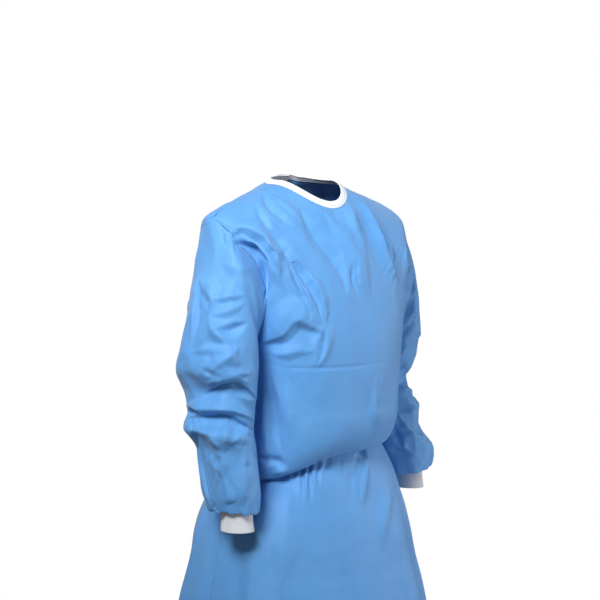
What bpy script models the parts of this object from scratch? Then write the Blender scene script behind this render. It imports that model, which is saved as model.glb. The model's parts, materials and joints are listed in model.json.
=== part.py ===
"""A disposable surgical gown as it is worn: a front, two backs that lap at the centre back, set-in
sleeves gathered into knit cuffs, a bound neck with a tab, and a tie round the waist under bloused
cloth. Metres, +Z up, the front faces -Y, and the wearer's left is +X. The origin lies between the
two high points of the shoulders."""

import math

import bmesh
import bpy
import numpy as np

# Cloth and seams
WALL = 0.0018
BINDING_WALL = 0.0024
TIE_WALL = 0.0014
SEAM_GAP = 0.0003
LAP_TURN = 14.0
LAP_LIFT = 0.0034
LAP_RISE = (148.0, 163.0)
LAP_FALL = 8.0
LAP_EDGE_TURN = 0.5
SEAM_SHARE = 0.56

# Lengths and widths
BINDING_WIDTH = 0.012
CUFF_LENGTH = 0.036
CUFF_INSET = 0.009
CUFF_WAIST = (-0.0008, 0.0004)
TIE_DROPS = (0.493, 0.511)
TIE_END_TURN = 179.6
TIE_LIFT = 0.0007
TAB_TURNS = (172.0, 212.0)
TAB_DROPS = (0.046, 0.074)
TAIL_TURN = 4.6
TAIL_SPREAD = 5.0
TAIL_WIDTH_TURN = 5.5
TAIL_DROPS = (0.5112, 0.790)
TAIL_SLACK = 0.0014
TAIL_FREE_DROP = 0.012
KNOT_SIZE = (0.030, 0.015, 0.019)
KNOT_SQUARE = 0.8
KNOT_DROP = 0.524
KNOT_CLEAR = 0.0016

# Sections of the body. drop counts down the front from the shoulder point, and each section goes
# round the body: half_width at the sides, depth at front and back, and the height of each.
BODY_COLUMNS = ("drop", "half_width", "front", "back", "square", "front_z", "side_z", "rear_z")
BODY_SECTIONS = (
    (0.026, 0.058, 0.066, 0.053, 2.0, -0.026, 0.009, 0.017),
    (0.038, 0.070, 0.074, 0.060, 2.0, -0.038, 0.002, 0.008),
    (0.064, 0.103, 0.092, 0.078, 1.95, -0.064, -0.010, -0.014),
    (0.098, 0.147, 0.110, 0.096, 1.90, -0.098, -0.026, -0.048),
    (0.148, 0.204, 0.129, 0.112, 1.85, -0.148, -0.052, -0.105),
    (0.205, 0.190, 0.140, 0.120, 2.15, -0.205, -0.135, -0.168),
    (0.255, 0.168, 0.147, 0.124, 2.35, -0.255, -0.215, -0.232),
    (0.300, 0.154, 0.148, 0.124, 2.5, -0.300, -0.285, -0.290),
    (0.360, 0.150, 0.146, 0.122, 2.5, -0.360, -0.358, -0.360),
    (0.415, 0.147, 0.144, 0.120, 2.5, -0.415, -0.415, -0.415),
    (0.440, 0.143, 0.139, 0.1140, 2.5, -0.443, -0.443, -0.4370),
    (0.457, 0.140, 0.132, 0.1105, 2.4, -0.461, -0.461, -0.4425),
    (0.466, 0.136, 0.126, 0.1085, 2.4, -0.4675, -0.4675, -0.4445),
    (0.475, 0.131, 0.119, 0.1065, 2.4, -0.460, -0.460, -0.4465),
    (0.483, 0.129, 0.116, 0.1045, 2.3, -0.448, -0.448, -0.4485),
    (0.488, 0.1265, 0.1135, 0.1032, 2.3, -0.4445, -0.4445, -0.4500),
    (0.493, 0.1245, 0.1115, 0.1022, 2.3, -0.448, -0.448, -0.4515),
    (0.511, 0.125, 0.111, 0.1022, 2.3, -0.466, -0.466, -0.4690),
    (0.526, 0.136, 0.117, 0.108, 2.3, -0.480, -0.480, -0.480),
    (0.548, 0.156, 0.125, 0.126, 2.3, -0.500, -0.500, -0.500),
    (0.590, 0.175, 0.138, 0.160, 2.3, -0.540, -0.540, -0.540),
    (0.670, 0.192, 0.153, 0.184, 2.3, -0.620, -0.620, -0.620),
    (0.750, 0.212, 0.168, 0.196, 2.3, -0.700, -0.700, -0.700),
    (0.950, 0.240, 0.186, 0.208, 2.2, -0.900, -0.900, -0.900),
    (1.150, 0.258, 0.196, 0.216, 2.2, -1.100, -1.100, -1.100),
    (1.250, 0.266, 0.200, 0.220, 2.2, -1.200, -1.200, -1.200),
)
NECK_DROP = 0.038
WAIST_TILT = 0.010
WAIST_TILT_DROPS = (0.36, 0.44, 0.53, 0.62)

# The blouse's edge, its groove and the tie climb from the right side to the left
WAIST_RISE = 0.032
WAIST_RISE_DROPS = (0.36, 0.45, 0.511, 0.57)
WAIST_RISE_TURNS = (-72.0, -18.0)
WAIST_FALL_TURNS = (80.0, 150.0)

# Armholes: how far each bites into the panels, in degrees round the body
HOLE_TOP = 0.148
HOLE_PIT = 0.300
HOLE_BITE_FRONT = 28.0
HOLE_BITE_BACK = 24.0
HOLE_ROUND = 0.6
HOLE_STEPS = 10

# Rows of the panels, by drop
YOKE_DROPS = (0.038, 0.058, 0.086, 0.116)
SIDE_DROPS = (0.322, 0.344, 0.366, 0.390, 0.415, 0.440)
WAIST_DROPS = (0.457, 0.466, 0.475, 0.483, 0.488, 0.493, 0.511, 0.526, 0.548, 0.570)
SKIRT_DROPS = (0.592, 0.630, 0.670, 0.730, 0.800, 0.900, 1.010, 1.130, 1.250)
FRONT_COLUMNS = 28
BACK_COLUMNS = 14
BINDING_COLUMNS = 53
TIE_COLUMNS = 73
TAB_COLUMNS = 11
TAIL_COLUMNS = 4
KNOT_COLUMNS = 16
KNOT_ROWS = 10

# Sections of the sleeves, from the shoulder down. A section leans from its outer edge to its
# inner edge, and goes half_y to the front and back of centre_y.
SLEEVE_COLUMNS = ("outer_x", "outer_z", "inner_x", "inner_z", "centre_y", "half_y", "square")
RIGHT_SLEEVE = (
    (0.214, -0.085, 0.160, -0.290, -0.018, 0.070, 2.1),
    (0.226, -0.130, 0.159, -0.303, -0.022, 0.072, 2.1),
    (0.243, -0.190, 0.159, -0.318, -0.026, 0.072, 2.2),
    (0.261, -0.255, 0.160, -0.334, -0.027, 0.073, 2.2),
    (0.268, -0.290, 0.161, -0.348, -0.027, 0.072, 2.2),
    (0.254, -0.325, 0.162, -0.370, -0.028, 0.064, 2.2),
    (0.256, -0.362, 0.162, -0.395, -0.032, 0.060, 2.2),
    (0.267, -0.386, 0.161, -0.412, -0.036, 0.062, 2.2),
    (0.251, -0.412, 0.162, -0.430, -0.044, 0.054, 2.2),
    (0.246, -0.460, 0.162, -0.470, -0.048, 0.052, 2.2),
    (0.243, -0.500, 0.163, -0.506, -0.052, 0.048, 2.2),
    (0.237, -0.517, 0.168, -0.521, -0.056, 0.042, 2.1),
    (0.229, -0.513, 0.175, -0.515, -0.061, 0.032, 2.0),
)
LEFT_SLEEVE = (
    (0.214, -0.085, 0.160, -0.290, 0.008, 0.072, 2.1),
    (0.230, -0.130, 0.159, -0.303, 0.014, 0.078, 2.1),
    (0.250, -0.190, 0.159, -0.318, 0.020, 0.076, 2.2),
    (0.264, -0.250, 0.158, -0.334, 0.027, 0.072, 2.2),
    (0.258, -0.307, 0.159, -0.355, 0.033, 0.066, 2.2),
    (0.250, -0.348, 0.160, -0.383, 0.034, 0.060, 2.2),
    (0.265, -0.386, 0.163, -0.410, 0.024, 0.060, 2.2),
    (0.263, -0.416, 0.166, -0.436, 0.012, 0.056, 2.2),
    (0.288, -0.466, 0.174, -0.478, 0.000, 0.054, 2.2),
    (0.274, -0.498, 0.183, -0.505, -0.010, 0.046, 2.1),
    (0.257, -0.496, 0.203, -0.498, -0.018, 0.032, 2.0),
)

# Cuffs: centre of the wrist and half sizes across and along the body
CUFF_COLUMNS = ("centre_x", "centre_y", "top_z", "half_x", "half_y", "lean_y")
RIGHT_CUFF = (0.202, -0.061, -0.513, 0.0250, 0.0285, -0.004)
LEFT_CUFF = (0.230, -0.018, -0.496, 0.0235, 0.0275, -0.003)
COLLAR_RISE = 0.008

# Folds: height above the panel, or below it where negative, reach to each side, and the line it
# runs along. Places on the body are (turn, drop), on a sleeve (degrees round, section).
FOLD_COLUMNS = ("name", "height", "reach", "line")
FOLD_STEPS = 12
FOLD_ENDS = (0.03, 0.97)
FOLD_END_SHARPNESS = 2.2
BODY_FOLDS = (
    ("right neck fold", 0.006, 0.022, ((-84, 0.060), (-74, 0.078), (-59, 0.090), (-45, 0.098))),
    ("right chest fold", 0.006, 0.022, ((-72, 0.102), (-65, 0.120), (-54, 0.140), (-45, 0.166))),
    ("left neck fold", 0.005, 0.020, ((30, 0.048), (18, 0.064), (16, 0.128))),
    ("left chest fold", 0.006, 0.022, ((58, 0.070), (46, 0.080), (39, 0.112), (37, 0.188))),
    ("front fold", 0.005, 0.018, ((-50, 0.164), (-44, 0.194), (-39, 0.226))),
    ("front bent fold", 0.006, 0.018, ((-42, 0.172), (-36, 0.210), (-29, 0.254), (-35, 0.296))),
    ("front hollow", -0.005, 0.020, ((-62, 0.266), (-56, 0.272), (-46, 0.236), (-32, 0.244))),
    ("right armpit fold", 0.006, 0.018, ((-56, 0.190), (-60, 0.174), (-66, 0.154))),
    ("left armpit fold", 0.005, 0.018, ((56, 0.194), (59, 0.176), (64, 0.158))),
    ("right side hollow", -0.005, 0.030, ((-66, 0.316), (-63, 0.376), (-57, 0.425))),
    ("left side hollow", -0.004, 0.026, ((58, 0.318), (60, 0.370), (54, 0.425))),
    ("left back fold", 0.006, 0.024, ((118, 0.070), (128, 0.120), (134, 0.200))),
    ("right back fold", 0.006, 0.024, ((-112, 0.074), (-124, 0.128), (-130, 0.215))),
    ("left back hollow", -0.005, 0.026, ((112, 0.330), (120, 0.380), (124, 0.425))),
    ("right back hollow", -0.005, 0.026, ((-108, 0.320), (-114, 0.375), (-126, 0.425))),
    ("front skirt fold", 0.006, 0.040, ((-58, 0.580), (-60, 0.730), (-57, 1.000), (-55, 1.300))),
    ("front skirt hollow", -0.006, 0.045, ((-20, 0.640), (-16, 0.800), (-14, 1.300))),
    ("left skirt fold", 0.008, 0.045, ((34, 0.590), (38, 0.750), (42, 1.300))),
    ("right side skirt fold", 0.008, 0.050, ((-98, 0.600), (-102, 0.800), (-100, 1.300))),
    ("left side skirt hollow", -0.007, 0.050, ((74, 0.620), (78, 0.850), (80, 1.300))),
    ("left back skirt fold", 0.009, 0.050, ((116, 0.600), (122, 0.800), (124, 1.300))),
    ("right back skirt hollow", -0.008, 0.050, ((-132, 0.600), (-134, 0.850), (-132, 1.300))),
)
RIGHT_SLEEVE_FOLDS = (
    ("back ridge", 0.004, 0.018, ((344, 2.3), (346, 3.3), (346, 4.5))),
    ("zigzag ridge", 0.005, 0.018, ((350, 2.4), (18, 2.9), (20, 3.4), (60, 3.7), (36, 4.8))),
    ("elbow hollow", -0.005, 0.016, ((340, 5.6), (26, 5.9), (58, 5.6), (100, 4.8))),
    ("step hollow", -0.005, 0.014, ((350, 7.6), (30, 7.3), (70, 7.3), (110, 7.4))),
    ("long hollow", -0.006, 0.016, ((2, 8.0), (352, 9.8), (0, 11.0))),
    ("forearm ridge", 0.004, 0.016, ((52, 7.4), (36, 9.1), (20, 10.2))),
    ("rear elbow ridge", 0.005, 0.018, ((290, 3.0), (270, 3.9), (250, 4.6))),
    ("rear hollow", -0.005, 0.018, ((300, 8.2), (280, 9.4), (270, 10.6))),
)
LEFT_SLEEVE_FOLDS = (
    ("front pull", 0.004, 0.018, ((60, 1.2), (80, 2.2), (110, 3.2))),
    ("elbow hollow", -0.006, 0.018, ((110, 4.7), (72, 5.4), (20, 5.7), (340, 5.6))),
    ("forearm ridge", 0.005, 0.018, ((98, 5.9), (48, 7.0), (10, 7.3))),
    ("forearm hollow", -0.005, 0.016, ((124, 7.6), (74, 8.0), (30, 7.9))),
    ("rear ridge", 0.005, 0.018, ((300, 2.6), (280, 3.6), (260, 4.4))),
    ("rear hollow", -0.005, 0.018, ((300, 7.0), (276, 8.0), (266, 9.0))),
)

# Gathers: every second column stands out under the tie and at the wrist
GATHER_DROPS = ((0.511, 0.0), (0.526, 1.0), (0.570, 0.9), (0.630, 0.35), (0.700, 0.0))
GATHER_HEIGHTS = (0.0030, 0.0016, 0.0036, 0.0022, 0.0012, 0.0032, 0.0018)
GATHER_INWARD = -0.6
GATHER_END = 165.0
GATHER_FADE = 15.0
WRIST_GATHER = 0.0016
WRIST_GATHER_SECTIONS = 1.5

# Colours
GOWN_BLUE = (0.115, 0.365, 0.790, 1.0)
BINDING_WHITE = (0.80, 0.83, 0.87, 1.0)
KNIT_WHITE = (0.74, 0.77, 0.82, 1.0)

# Small steps that a surface's direction is read over, and the angle from which edges stay sharp
TURN_STEP = 0.5
DROP_STEP = 0.0005
SHARP_ANGLE = 50.0


def clear_scene():
    """Removes the objects that a new file starts with."""
    for obj in list(bpy.data.objects):
        bpy.data.objects.remove(obj)


def material(name, colour, roughness):
    """One plain cloth finish."""
    made = bpy.data.materials.new(name)
    made.use_nodes = True
    shader = made.node_tree.nodes["Principled BSDF"]
    shader.inputs["Base Color"].default_value = colour
    shader.inputs["Roughness"].default_value = roughness
    shader.inputs["Metallic"].default_value = 0.0
    return made


def unit(vectors):
    """The vectors at length 1."""
    return vectors / np.maximum(np.linalg.norm(vectors, axis=-1, keepdims=True), 1e-12)


def curve_through(keys, values, at):
    """A smooth curve through the values at the keys, read at the places given."""
    step = np.diff(keys)
    slope = np.diff(values) / step
    tangent = np.concatenate(([slope[0]], np.zeros(len(step) - 1), [slope[-1]]))
    tangent[1:-1] = (slope[:-1] * step[1:] + slope[1:] * step[:-1]) / (step[:-1] + step[1:])
    i = np.clip(np.searchsorted(keys, at, side="right") - 1, 0, len(step) - 1)
    s = (at - keys[i]) / step[i]
    start = (2 * s**3 - 3 * s**2 + 1) * values[i] + (s**3 - 2 * s**2 + s) * step[i] * tangent[i]
    end = (3 * s**2 - 2 * s**3) * values[i + 1] + (s**3 - s**2) * step[i] * tangent[i + 1]
    return start + end


def eased(part):
    """A share from 0 to 1 that starts and ends gently."""
    part = np.clip(part, 0, 1)
    return part * part * (3 - 2 * part)


def waist_rise(turn, drop):
    """How far the cloth at the waist sits above a level line."""
    turn = (turn + 180) % 360 - 180
    risen = eased((turn - WAIST_RISE_TURNS[0]) / (WAIST_RISE_TURNS[1] - WAIST_RISE_TURNS[0]))
    fallen = eased((turn - WAIST_FALL_TURNS[0]) / (WAIST_FALL_TURNS[1] - WAIST_FALL_TURNS[0]))
    return WAIST_RISE * (risen - fallen) * np.interp(drop, WAIST_RISE_DROPS, (0.0, 1.0, 1.0, 0.0))


def body_point(turn, drop):
    """The outside of the gown's body. turn goes round it in degrees from the centre front."""
    turn, drop = np.broadcast_arrays(np.asarray(turn, float), np.asarray(drop, float))
    table = np.array(BODY_SECTIONS)
    at = {name: curve_through(table[:, 0], table[:, k], drop) for k, name in enumerate(BODY_COLUMNS)}
    across, along = np.sin(np.radians(turn)), np.cos(np.radians(turn))
    depth = np.where(along > 0, at["front"], at["back"])
    power = at["square"]
    radius = (np.abs(across / at["half_width"]) ** power + np.abs(along / depth) ** power) ** (-1 / power)
    x = radius * across
    y = -radius * along
    end_z = np.where(along > 0, at["front_z"], at["rear_z"])
    z = end_z + (at["side_z"] - end_z) * np.clip(np.abs(x) / at["half_width"], 0, 1) ** 2
    z = z + WAIST_TILT * across * np.interp(drop, WAIST_TILT_DROPS, (0.0, 1.0, 1.0, 0.0))
    return np.stack([x, y, z + waist_rise(turn, drop)], -1)


def body_normal(turn, drop):
    """The direction straight out of the body's cloth."""
    round_it = body_point(turn + TURN_STEP, drop) - body_point(turn - TURN_STEP, drop)
    down = body_point(turn, drop + DROP_STEP) - body_point(turn, drop - DROP_STEP)
    return unit(np.cross(down, round_it))


def fold_lift(points, folds, place):
    """How far the folds lift each point. place gives the fold's line in space."""
    lift = np.zeros(points.shape[:-1])
    for row in folds:
        fold = dict(zip(FOLD_COLUMNS, row))
        line = np.array(fold["line"], float)
        steps = np.linspace(0, len(line) - 1, FOLD_STEPS * (len(line) - 1) + 1)
        first, second = line[:, 0], line[:, 1]
        first = np.degrees(np.unwrap(np.radians(first)))
        keys = np.arange(len(line))
        run = place(np.interp(steps, keys, first), np.interp(steps, keys, second))
        away = np.linalg.norm(points[..., None, :] - run, axis=-1)
        nearest = away.argmin(-1) / (len(run) - 1)
        near = np.clip(1 - (away.min(-1) / fold["reach"]) ** 2, 0, 1) ** 2
        ends = np.clip(np.sin(math.pi * np.clip(nearest, *FOLD_ENDS)) * FOLD_END_SHARPNESS, 0, 1)
        lift = lift + fold["height"] * near * ends
    return lift


def hole_turn(drop, back):
    """Where the armhole's edge lies at a drop, in degrees from the centre front."""
    part = np.clip((drop - HOLE_TOP) / (HOLE_PIT - HOLE_TOP), 0, 1)
    bite = HOLE_BITE_BACK if back else HOLE_BITE_FRONT
    bite = bite * np.maximum(np.sin(math.pi * part), 0) ** HOLE_ROUND
    return 90 + bite if back else 90 - bite


def hole_drops():
    """Rows at the armhole, closer together at the shoulder tip and the armpit."""
    steps = np.arange(HOLE_STEPS + 1) / HOLE_STEPS
    return HOLE_TOP + (HOLE_PIT - HOLE_TOP) * (1 - np.cos(math.pi * steps)) / 2


def hole_edge(side):
    """Turns and drops of the armhole's points: from the tip down the front and up the back."""
    drops = hole_drops()
    front = hole_turn(drops, back=False)
    back = hole_turn(drops, back=True)
    turns = np.concatenate([front, back[-2:0:-1]])
    return side * turns, np.concatenate([drops, drops[-2:0:-1]])


def sleeve_rings(side):
    """The sleeve's sections: the armhole's edge first, then a ring for each row of the table."""
    turns, drops = hole_edge(side)
    edge = body_point(turns, drops)
    edge = edge + (fold_lift(edge, BODY_FOLDS, body_point)[:, None]) * body_normal(turns, drops)
    rings = [edge]
    angle = np.linspace(0, 2 * math.pi, 2 * HOLE_STEPS, endpoint=False)
    outward, forward = np.cos(angle), np.sin(angle)
    for row in RIGHT_SLEEVE if side < 0 else LEFT_SLEEVE:
        section = dict(zip(SLEEVE_COLUMNS, row))
        power = section["square"]
        radius = (np.abs(outward) ** power + np.abs(forward) ** power) ** (-1 / power)
        lean = 0.5 + 0.5 * radius * outward
        x = section["inner_x"] + (section["outer_x"] - section["inner_x"]) * lean
        z = section["inner_z"] + (section["outer_z"] - section["inner_z"]) * lean
        y = section["centre_y"] - section["half_y"] * radius * forward
        rings.append(np.stack([side * x, y, z], -1))
    return np.array(rings)


def sleeve_point(rings, degrees, section):
    """A point on the smooth tube through the rings, by degrees round it and by section."""
    count = rings.shape[1]
    tangent = np.gradient(rings, axis=0)
    place = np.asarray(degrees, float) / 360 * count
    left = np.floor(place).astype(int)
    part = (place - left)[..., None]
    i = np.clip(np.floor(section).astype(int), 0, len(rings) - 2)
    s = (section - i)[..., None]
    found = 0
    for column, weight in ((left % count, 1 - part), ((left + 1) % count, part)):
        start = (2 * s**3 - 3 * s**2 + 1) * rings[i, column] + (s**3 - 2 * s**2 + s) * tangent[i, column]
        end = (3 * s**2 - 2 * s**3) * rings[i + 1, column] + (s**3 - s**2) * tangent[i + 1, column]
        found = found + weight * (start + end)
    return found


def sleeve_grid(side):
    """The sleeve's points and normals, rows down the arm and columns rightwards seen from outside."""
    rings = sleeve_rings(side)
    last = len(rings) - 1
    rows = np.concatenate([np.arange(0, last - 3, 0.5), np.arange(last - 3, last + 0.1, 1)])
    angles = np.arange(2 * HOLE_STEPS) * 180 / HOLE_STEPS
    section, degrees = np.meshgrid(rows, angles, indexing="ij")
    points = sleeve_point(rings, degrees, section)
    if side > 0:
        points = np.roll(points[:, ::-1], 1, axis=1)
    normals = grid_normals(points)
    folds = RIGHT_SLEEVE_FOLDS if side < 0 else LEFT_SLEEVE_FOLDS
    lift = fold_lift(points, folds, lambda turn, row: sleeve_point(rings, turn, row))
    lift = lift * np.clip(rows - 0.5, 0, 1)[:, None]
    gather = np.where(np.arange(2 * HOLE_STEPS) % 2 == 0, 1.0, -1.0) * WRIST_GATHER
    lift = lift + gather * np.clip(1 - np.abs(rows - (last - 1)) / WRIST_GATHER_SECTIONS, 0, 1)[:, None]
    points = points + lift[..., None] * normals
    normals = grid_normals(points)
    edge = body_normal(*hole_edge(side))
    if side > 0:
        edge = np.roll(edge[::-1], 1, axis=0)
    normals[0] = unit(normals[0] + edge)
    return collared(side, points, normals)


def collared(side, points, normals):
    """Adds the short collar at the sleeve's end that the cuff is sewn into."""
    ring = cuff_ring(side, 0.0, SEAM_GAP + WALL)
    angles = np.arctan2(points[-1, :, 1] - ring[0][1], points[-1, :, 0] - ring[0][0])
    collar, out = cuff_points(side, angles, COLLAR_RISE, SEAM_GAP + WALL)
    return np.concatenate([points, collar[None]]), np.concatenate([normals, out[None]])


def cuff_ring(side, below, more):
    """The cuff's centre and half sizes, a way below its seam and grown by more."""
    cuff = dict(zip(CUFF_COLUMNS, RIGHT_CUFF if side < 0 else LEFT_CUFF))
    part = below / CUFF_LENGTH
    centre_y = cuff["centre_y"] + cuff["lean_y"] * part
    centre = np.array([side * cuff["centre_x"], centre_y, cuff["top_z"] - below])
    return centre, cuff["half_x"] + more, cuff["half_y"] + more


def cuff_points(side, angles, rise, more):
    """Points round the wrist, a rise above the cuff's seam, and the directions out of it."""
    centre, half_x, half_y = cuff_ring(side, -rise, more)
    out = np.stack([np.cos(angles), np.sin(angles), np.zeros(len(angles))], -1)
    return centre + out * np.array([half_x, half_y, 0]), unit(out * np.array([half_y, half_x, 1]))


def grid_normals(points):
    """Directions out of a tube of rings, from its neighbours."""
    across = np.roll(points, -1, axis=1) - np.roll(points, 1, axis=1)
    down = np.gradient(points, axis=0)
    return unit(np.cross(down, across))


def drawn_in(points, normals, tube):
    """The same points with the edges drawn in by half the seam gap."""
    moved = points.copy()
    half_gap = SEAM_SHARE * SEAM_GAP
    if tube:
        for row, toward in ((0, 1), (-1, -2)):
            along = np.roll(points[row], -1, axis=0) - np.roll(points[row], 1, axis=0)
            into = unit(np.cross(along, normals[row]))
            into = into * np.sign((into * (points[toward] - points[row])).sum(-1, keepdims=True))
            moved[row] += half_gap * into
        return moved
    rows, columns = points.shape[:2]
    edge = [(0, j) for j in range(columns)]
    edge += [(i, columns - 1) for i in range(1, rows)]
    edge += [(rows - 1, j) for j in range(columns - 2, -1, -1)]
    edge += [(i, 0) for i in range(rows - 2, 0, -1)]
    for k, (i, j) in enumerate(edge):
        before = points[edge[k - 1]]
        after = points[edge[(k + 1) % len(edge)]]
        along = unit(unit(after - points[i, j]) + unit(points[i, j] - before))
        moved[i, j] += half_gap * np.cross(along, normals[i, j])
    return moved


def wall(name, points, normals, thickness, finish, tube=False):
    """A closed wall of cloth: the outer points, the same points moved in, and a rim between."""
    outer = drawn_in(points, normals, tube)
    inner = outer - thickness * normals
    rows, columns = points.shape[:2]
    mesh = bpy.data.meshes.new(name)
    shape = bmesh.new()
    skins = []
    for skin in (outer, inner):
        skins.append([[shape.verts.new(skin[i, j]) for j in range(columns)] for i in range(rows)])
    spans = columns if tube else columns - 1
    for i in range(rows - 1):
        for j in range(spans):
            k = (j + 1) % columns
            for skin, turned in zip(skins, (False, True)):
                a, b, c, d = skin[i][j], skin[i + 1][j], skin[i + 1][k], skin[i][k]
                for corners in ((a, b, c), (a, c, d)):
                    shape.faces.new(corners[::-1] if turned else corners)
    for row in (0, rows - 1):
        for j in range(spans):
            k = (j + 1) % columns
            shape.faces.new((skins[0][row][j], skins[0][row][k], skins[1][row][k], skins[1][row][j]))
    if not tube:
        for column in (0, columns - 1):
            for i in range(rows - 1):
                shape.faces.new(
                    (skins[0][i][column], skins[0][i + 1][column], skins[1][i + 1][column], skins[1][i][column])
                )
    bmesh.ops.recalc_face_normals(shape, faces=shape.faces)
    bmesh.ops.triangulate(shape, faces=[face for face in shape.faces if len(face.verts) > 3])
    shape.to_mesh(mesh)
    shape.free()
    mesh.shade_smooth()
    mesh.set_sharp_from_angle(angle=math.radians(SHARP_ANGLE))
    mesh.materials.append(finish)
    made = bpy.data.objects.new(name, mesh)
    bpy.context.scene.collection.objects.link(made)
    return made


def panel_drops():
    """The drops of a panel's rows from neck to hem."""
    return np.concatenate([YOKE_DROPS, hole_drops(), SIDE_DROPS, WAIST_DROPS, SKIRT_DROPS])


def lap_lift(turn):
    """The left back lies over the right one, so it is lifted as it nears the centre back."""
    return LAP_LIFT * eased((turn - LAP_RISE[0]) / (LAP_RISE[1] - LAP_RISE[0]))


def top_lift(turn):
    """The lift of the outermost cloth at the centre back, with the left back's edge left behind."""
    turn = turn % 360
    return lap_lift(turn) * (1 - eased((turn - 180 - LAP_TURN - LAP_EDGE_TURN) / LAP_FALL))


def body_surface(turn, drop, gather=0.0, lap=lap_lift):
    """Points and normals of the body's cloth with its folds, laps and gathers."""
    turn, drop = np.broadcast_arrays(np.asarray(turn, float), np.asarray(drop, float))
    base = body_point(turn, drop)
    out = body_normal(turn, drop)
    lift = fold_lift(base, BODY_FOLDS, body_point) + lap(turn) + gather
    return base + lift[..., None] * out, out


def seam_normals(side):
    """Directions out of the seam between an armhole and its sleeve."""
    points, normals = sleeve_grid(side)
    found = normals[0]
    if side > 0:
        found = np.roll(found[::-1], 1, axis=0)
    return found


def gathers(turn, drop, columns):
    """Every second column stands out under the tie, the next stands in, by uneven heights."""
    strength = np.interp(drop, *zip(*GATHER_DROPS))
    strength = strength * np.clip((GATHER_END - np.abs(turn)) / GATHER_FADE, 0, 1)
    heights = np.resize(GATHER_HEIGHTS, columns + 1)
    signs = np.where(np.arange(columns + 1) % 2 == 1, 1.0, GATHER_INWARD)
    signs[[0, -1]] = 0.0
    return strength * heights * signs


def panel(name, first, last, columns, finish):
    """A panel of the body. first and last are the turns of its two edges at each drop."""
    drops = panel_drops()
    part = np.linspace(0, 1, columns + 1)
    turn = first[:, None] + (last - first)[:, None] * part
    drop = np.repeat(drops[:, None], columns + 1, axis=1)
    points, normals = body_surface(turn, drop, gathers(turn, drop, columns))
    rows = len(YOKE_DROPS) + np.arange(HOLE_STEPS + 1)
    for column, edge in ((0, first), (-1, last)):
        if abs(edge[0]) > 90:
            continue
        side = 1 if edge[0] > 0 else -1
        seam = seam_normals(side)
        around = np.arange(HOLE_STEPS + 1)
        if name != "front_panel":
            around = -around
        normals[rows, column] = seam[around]
    return wall(name, points, normals, WALL, finish)


def front_panel(finish):
    """The front, cut in one piece from side seam to side seam."""
    edge = hole_turn(panel_drops(), back=False)
    return panel("front_panel", -edge, edge, FRONT_COLUMNS, finish)


def back_panel(side, finish):
    """One of the two backs, from its side seam past the centre back."""
    seam = side * hole_turn(panel_drops(), back=True)
    free = np.full(len(seam), side * (180 + LAP_TURN))
    if side > 0:
        return panel("back_panel_left", seam, free, BACK_COLUMNS, finish)
    return panel("back_panel_right", free, seam, BACK_COLUMNS, finish)


def sleeve(side, finish):
    """A set-in sleeve from the armhole to the collar that takes the cuff."""
    points, normals = sleeve_grid(side)
    return wall("sleeve_left" if side > 0 else "sleeve_right", points, normals, WALL, finish, tube=True)


def cuff(side, finish):
    """The knit cuff: its top stands inside the sleeve's collar and it narrows a little below."""
    count = 2 * HOLE_STEPS
    angles = np.linspace(0, 2 * math.pi, count, endpoint=False)
    rows = []
    normals = []
    middle, end = CUFF_WAIST
    for rise, more in ((CUFF_INSET, 0.0), (0.0, 0.0), (-CUFF_LENGTH / 2, middle), (-CUFF_LENGTH, end)):
        ring, out = cuff_points(side, angles, rise, more)
        rows.append(ring)
        normals.append(out)
    return wall(
        "cuff_left" if side > 0 else "cuff_right", np.array(rows), np.array(normals), WALL, finish, tube=True
    )


def strip(name, turns, drops, lift, thickness, finish, lap=top_lift):
    """A band that lies on the body's cloth, made from the cloth's own points moved out."""
    drop, turn = np.meshgrid(drops, turns, indexing="ij")
    points, normals = body_surface(turn, drop, lap=lap)
    return wall(name, points + lift * normals, normals, thickness, finish)


def neck_binding(finish):
    """The bound edge of the neck, lapped at the centre back like the panels below it."""
    turns = np.linspace(-180 - LAP_TURN, 180 + LAP_TURN, BINDING_COLUMNS)
    drops = (NECK_DROP - BINDING_WIDTH, NECK_DROP - BINDING_WIDTH / 2, NECK_DROP)
    proud = (BINDING_WALL - WALL) / 2
    return strip("neck_binding", turns, drops, proud, BINDING_WALL, finish, lap_lift)


def neck_tab(finish):
    """The tab that closes the neck, from the left back across to the right back."""
    turns = np.linspace(*TAB_TURNS, TAB_COLUMNS)
    return strip("neck_tab", turns, np.linspace(*TAB_DROPS, 4), SEAM_GAP + TIE_WALL, TIE_WALL, finish)


def waist_tie(finish):
    """The tie round the waist, in the groove under the bloused cloth, its ends meeting at the back."""
    turns = np.linspace(-TIE_END_TURN, TIE_END_TURN, TIE_COLUMNS)
    return strip("waist_tie", turns, TIE_DROPS, TIE_LIFT + TIE_WALL, TIE_WALL, finish)


def tie_knot(finish):
    """The knot at the centre back, a small rounded lump under the bloused cloth."""
    seat, out = body_surface(np.array(180.0), np.array(KNOT_DROP))
    width, depth, height = KNOT_SIZE
    shape = bmesh.new()
    bmesh.ops.create_uvsphere(shape, u_segments=KNOT_COLUMNS, v_segments=KNOT_ROWS, radius=1.0)
    for vert in shape.verts:
        vert.co.x = math.copysign(abs(vert.co.x) ** KNOT_SQUARE, vert.co.x) * width / 2
        vert.co.z = math.copysign(abs(vert.co.z) ** KNOT_SQUARE, vert.co.z) * height / 2
        vert.co.y = vert.co.y * depth / 2
    centre = seat + out * (depth / 2 + SEAM_GAP + TIE_WALL + TAIL_SLACK + KNOT_CLEAR)
    bmesh.ops.translate(shape, verts=shape.verts, vec=(0.0, centre[1], centre[2]))
    mesh = bpy.data.meshes.new("tie_knot")
    shape.to_mesh(mesh)
    shape.free()
    mesh.shade_smooth()
    mesh.materials.append(finish)
    knot = bpy.data.objects.new("tie_knot", mesh)
    bpy.context.scene.collection.objects.link(knot)
    return knot


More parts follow.
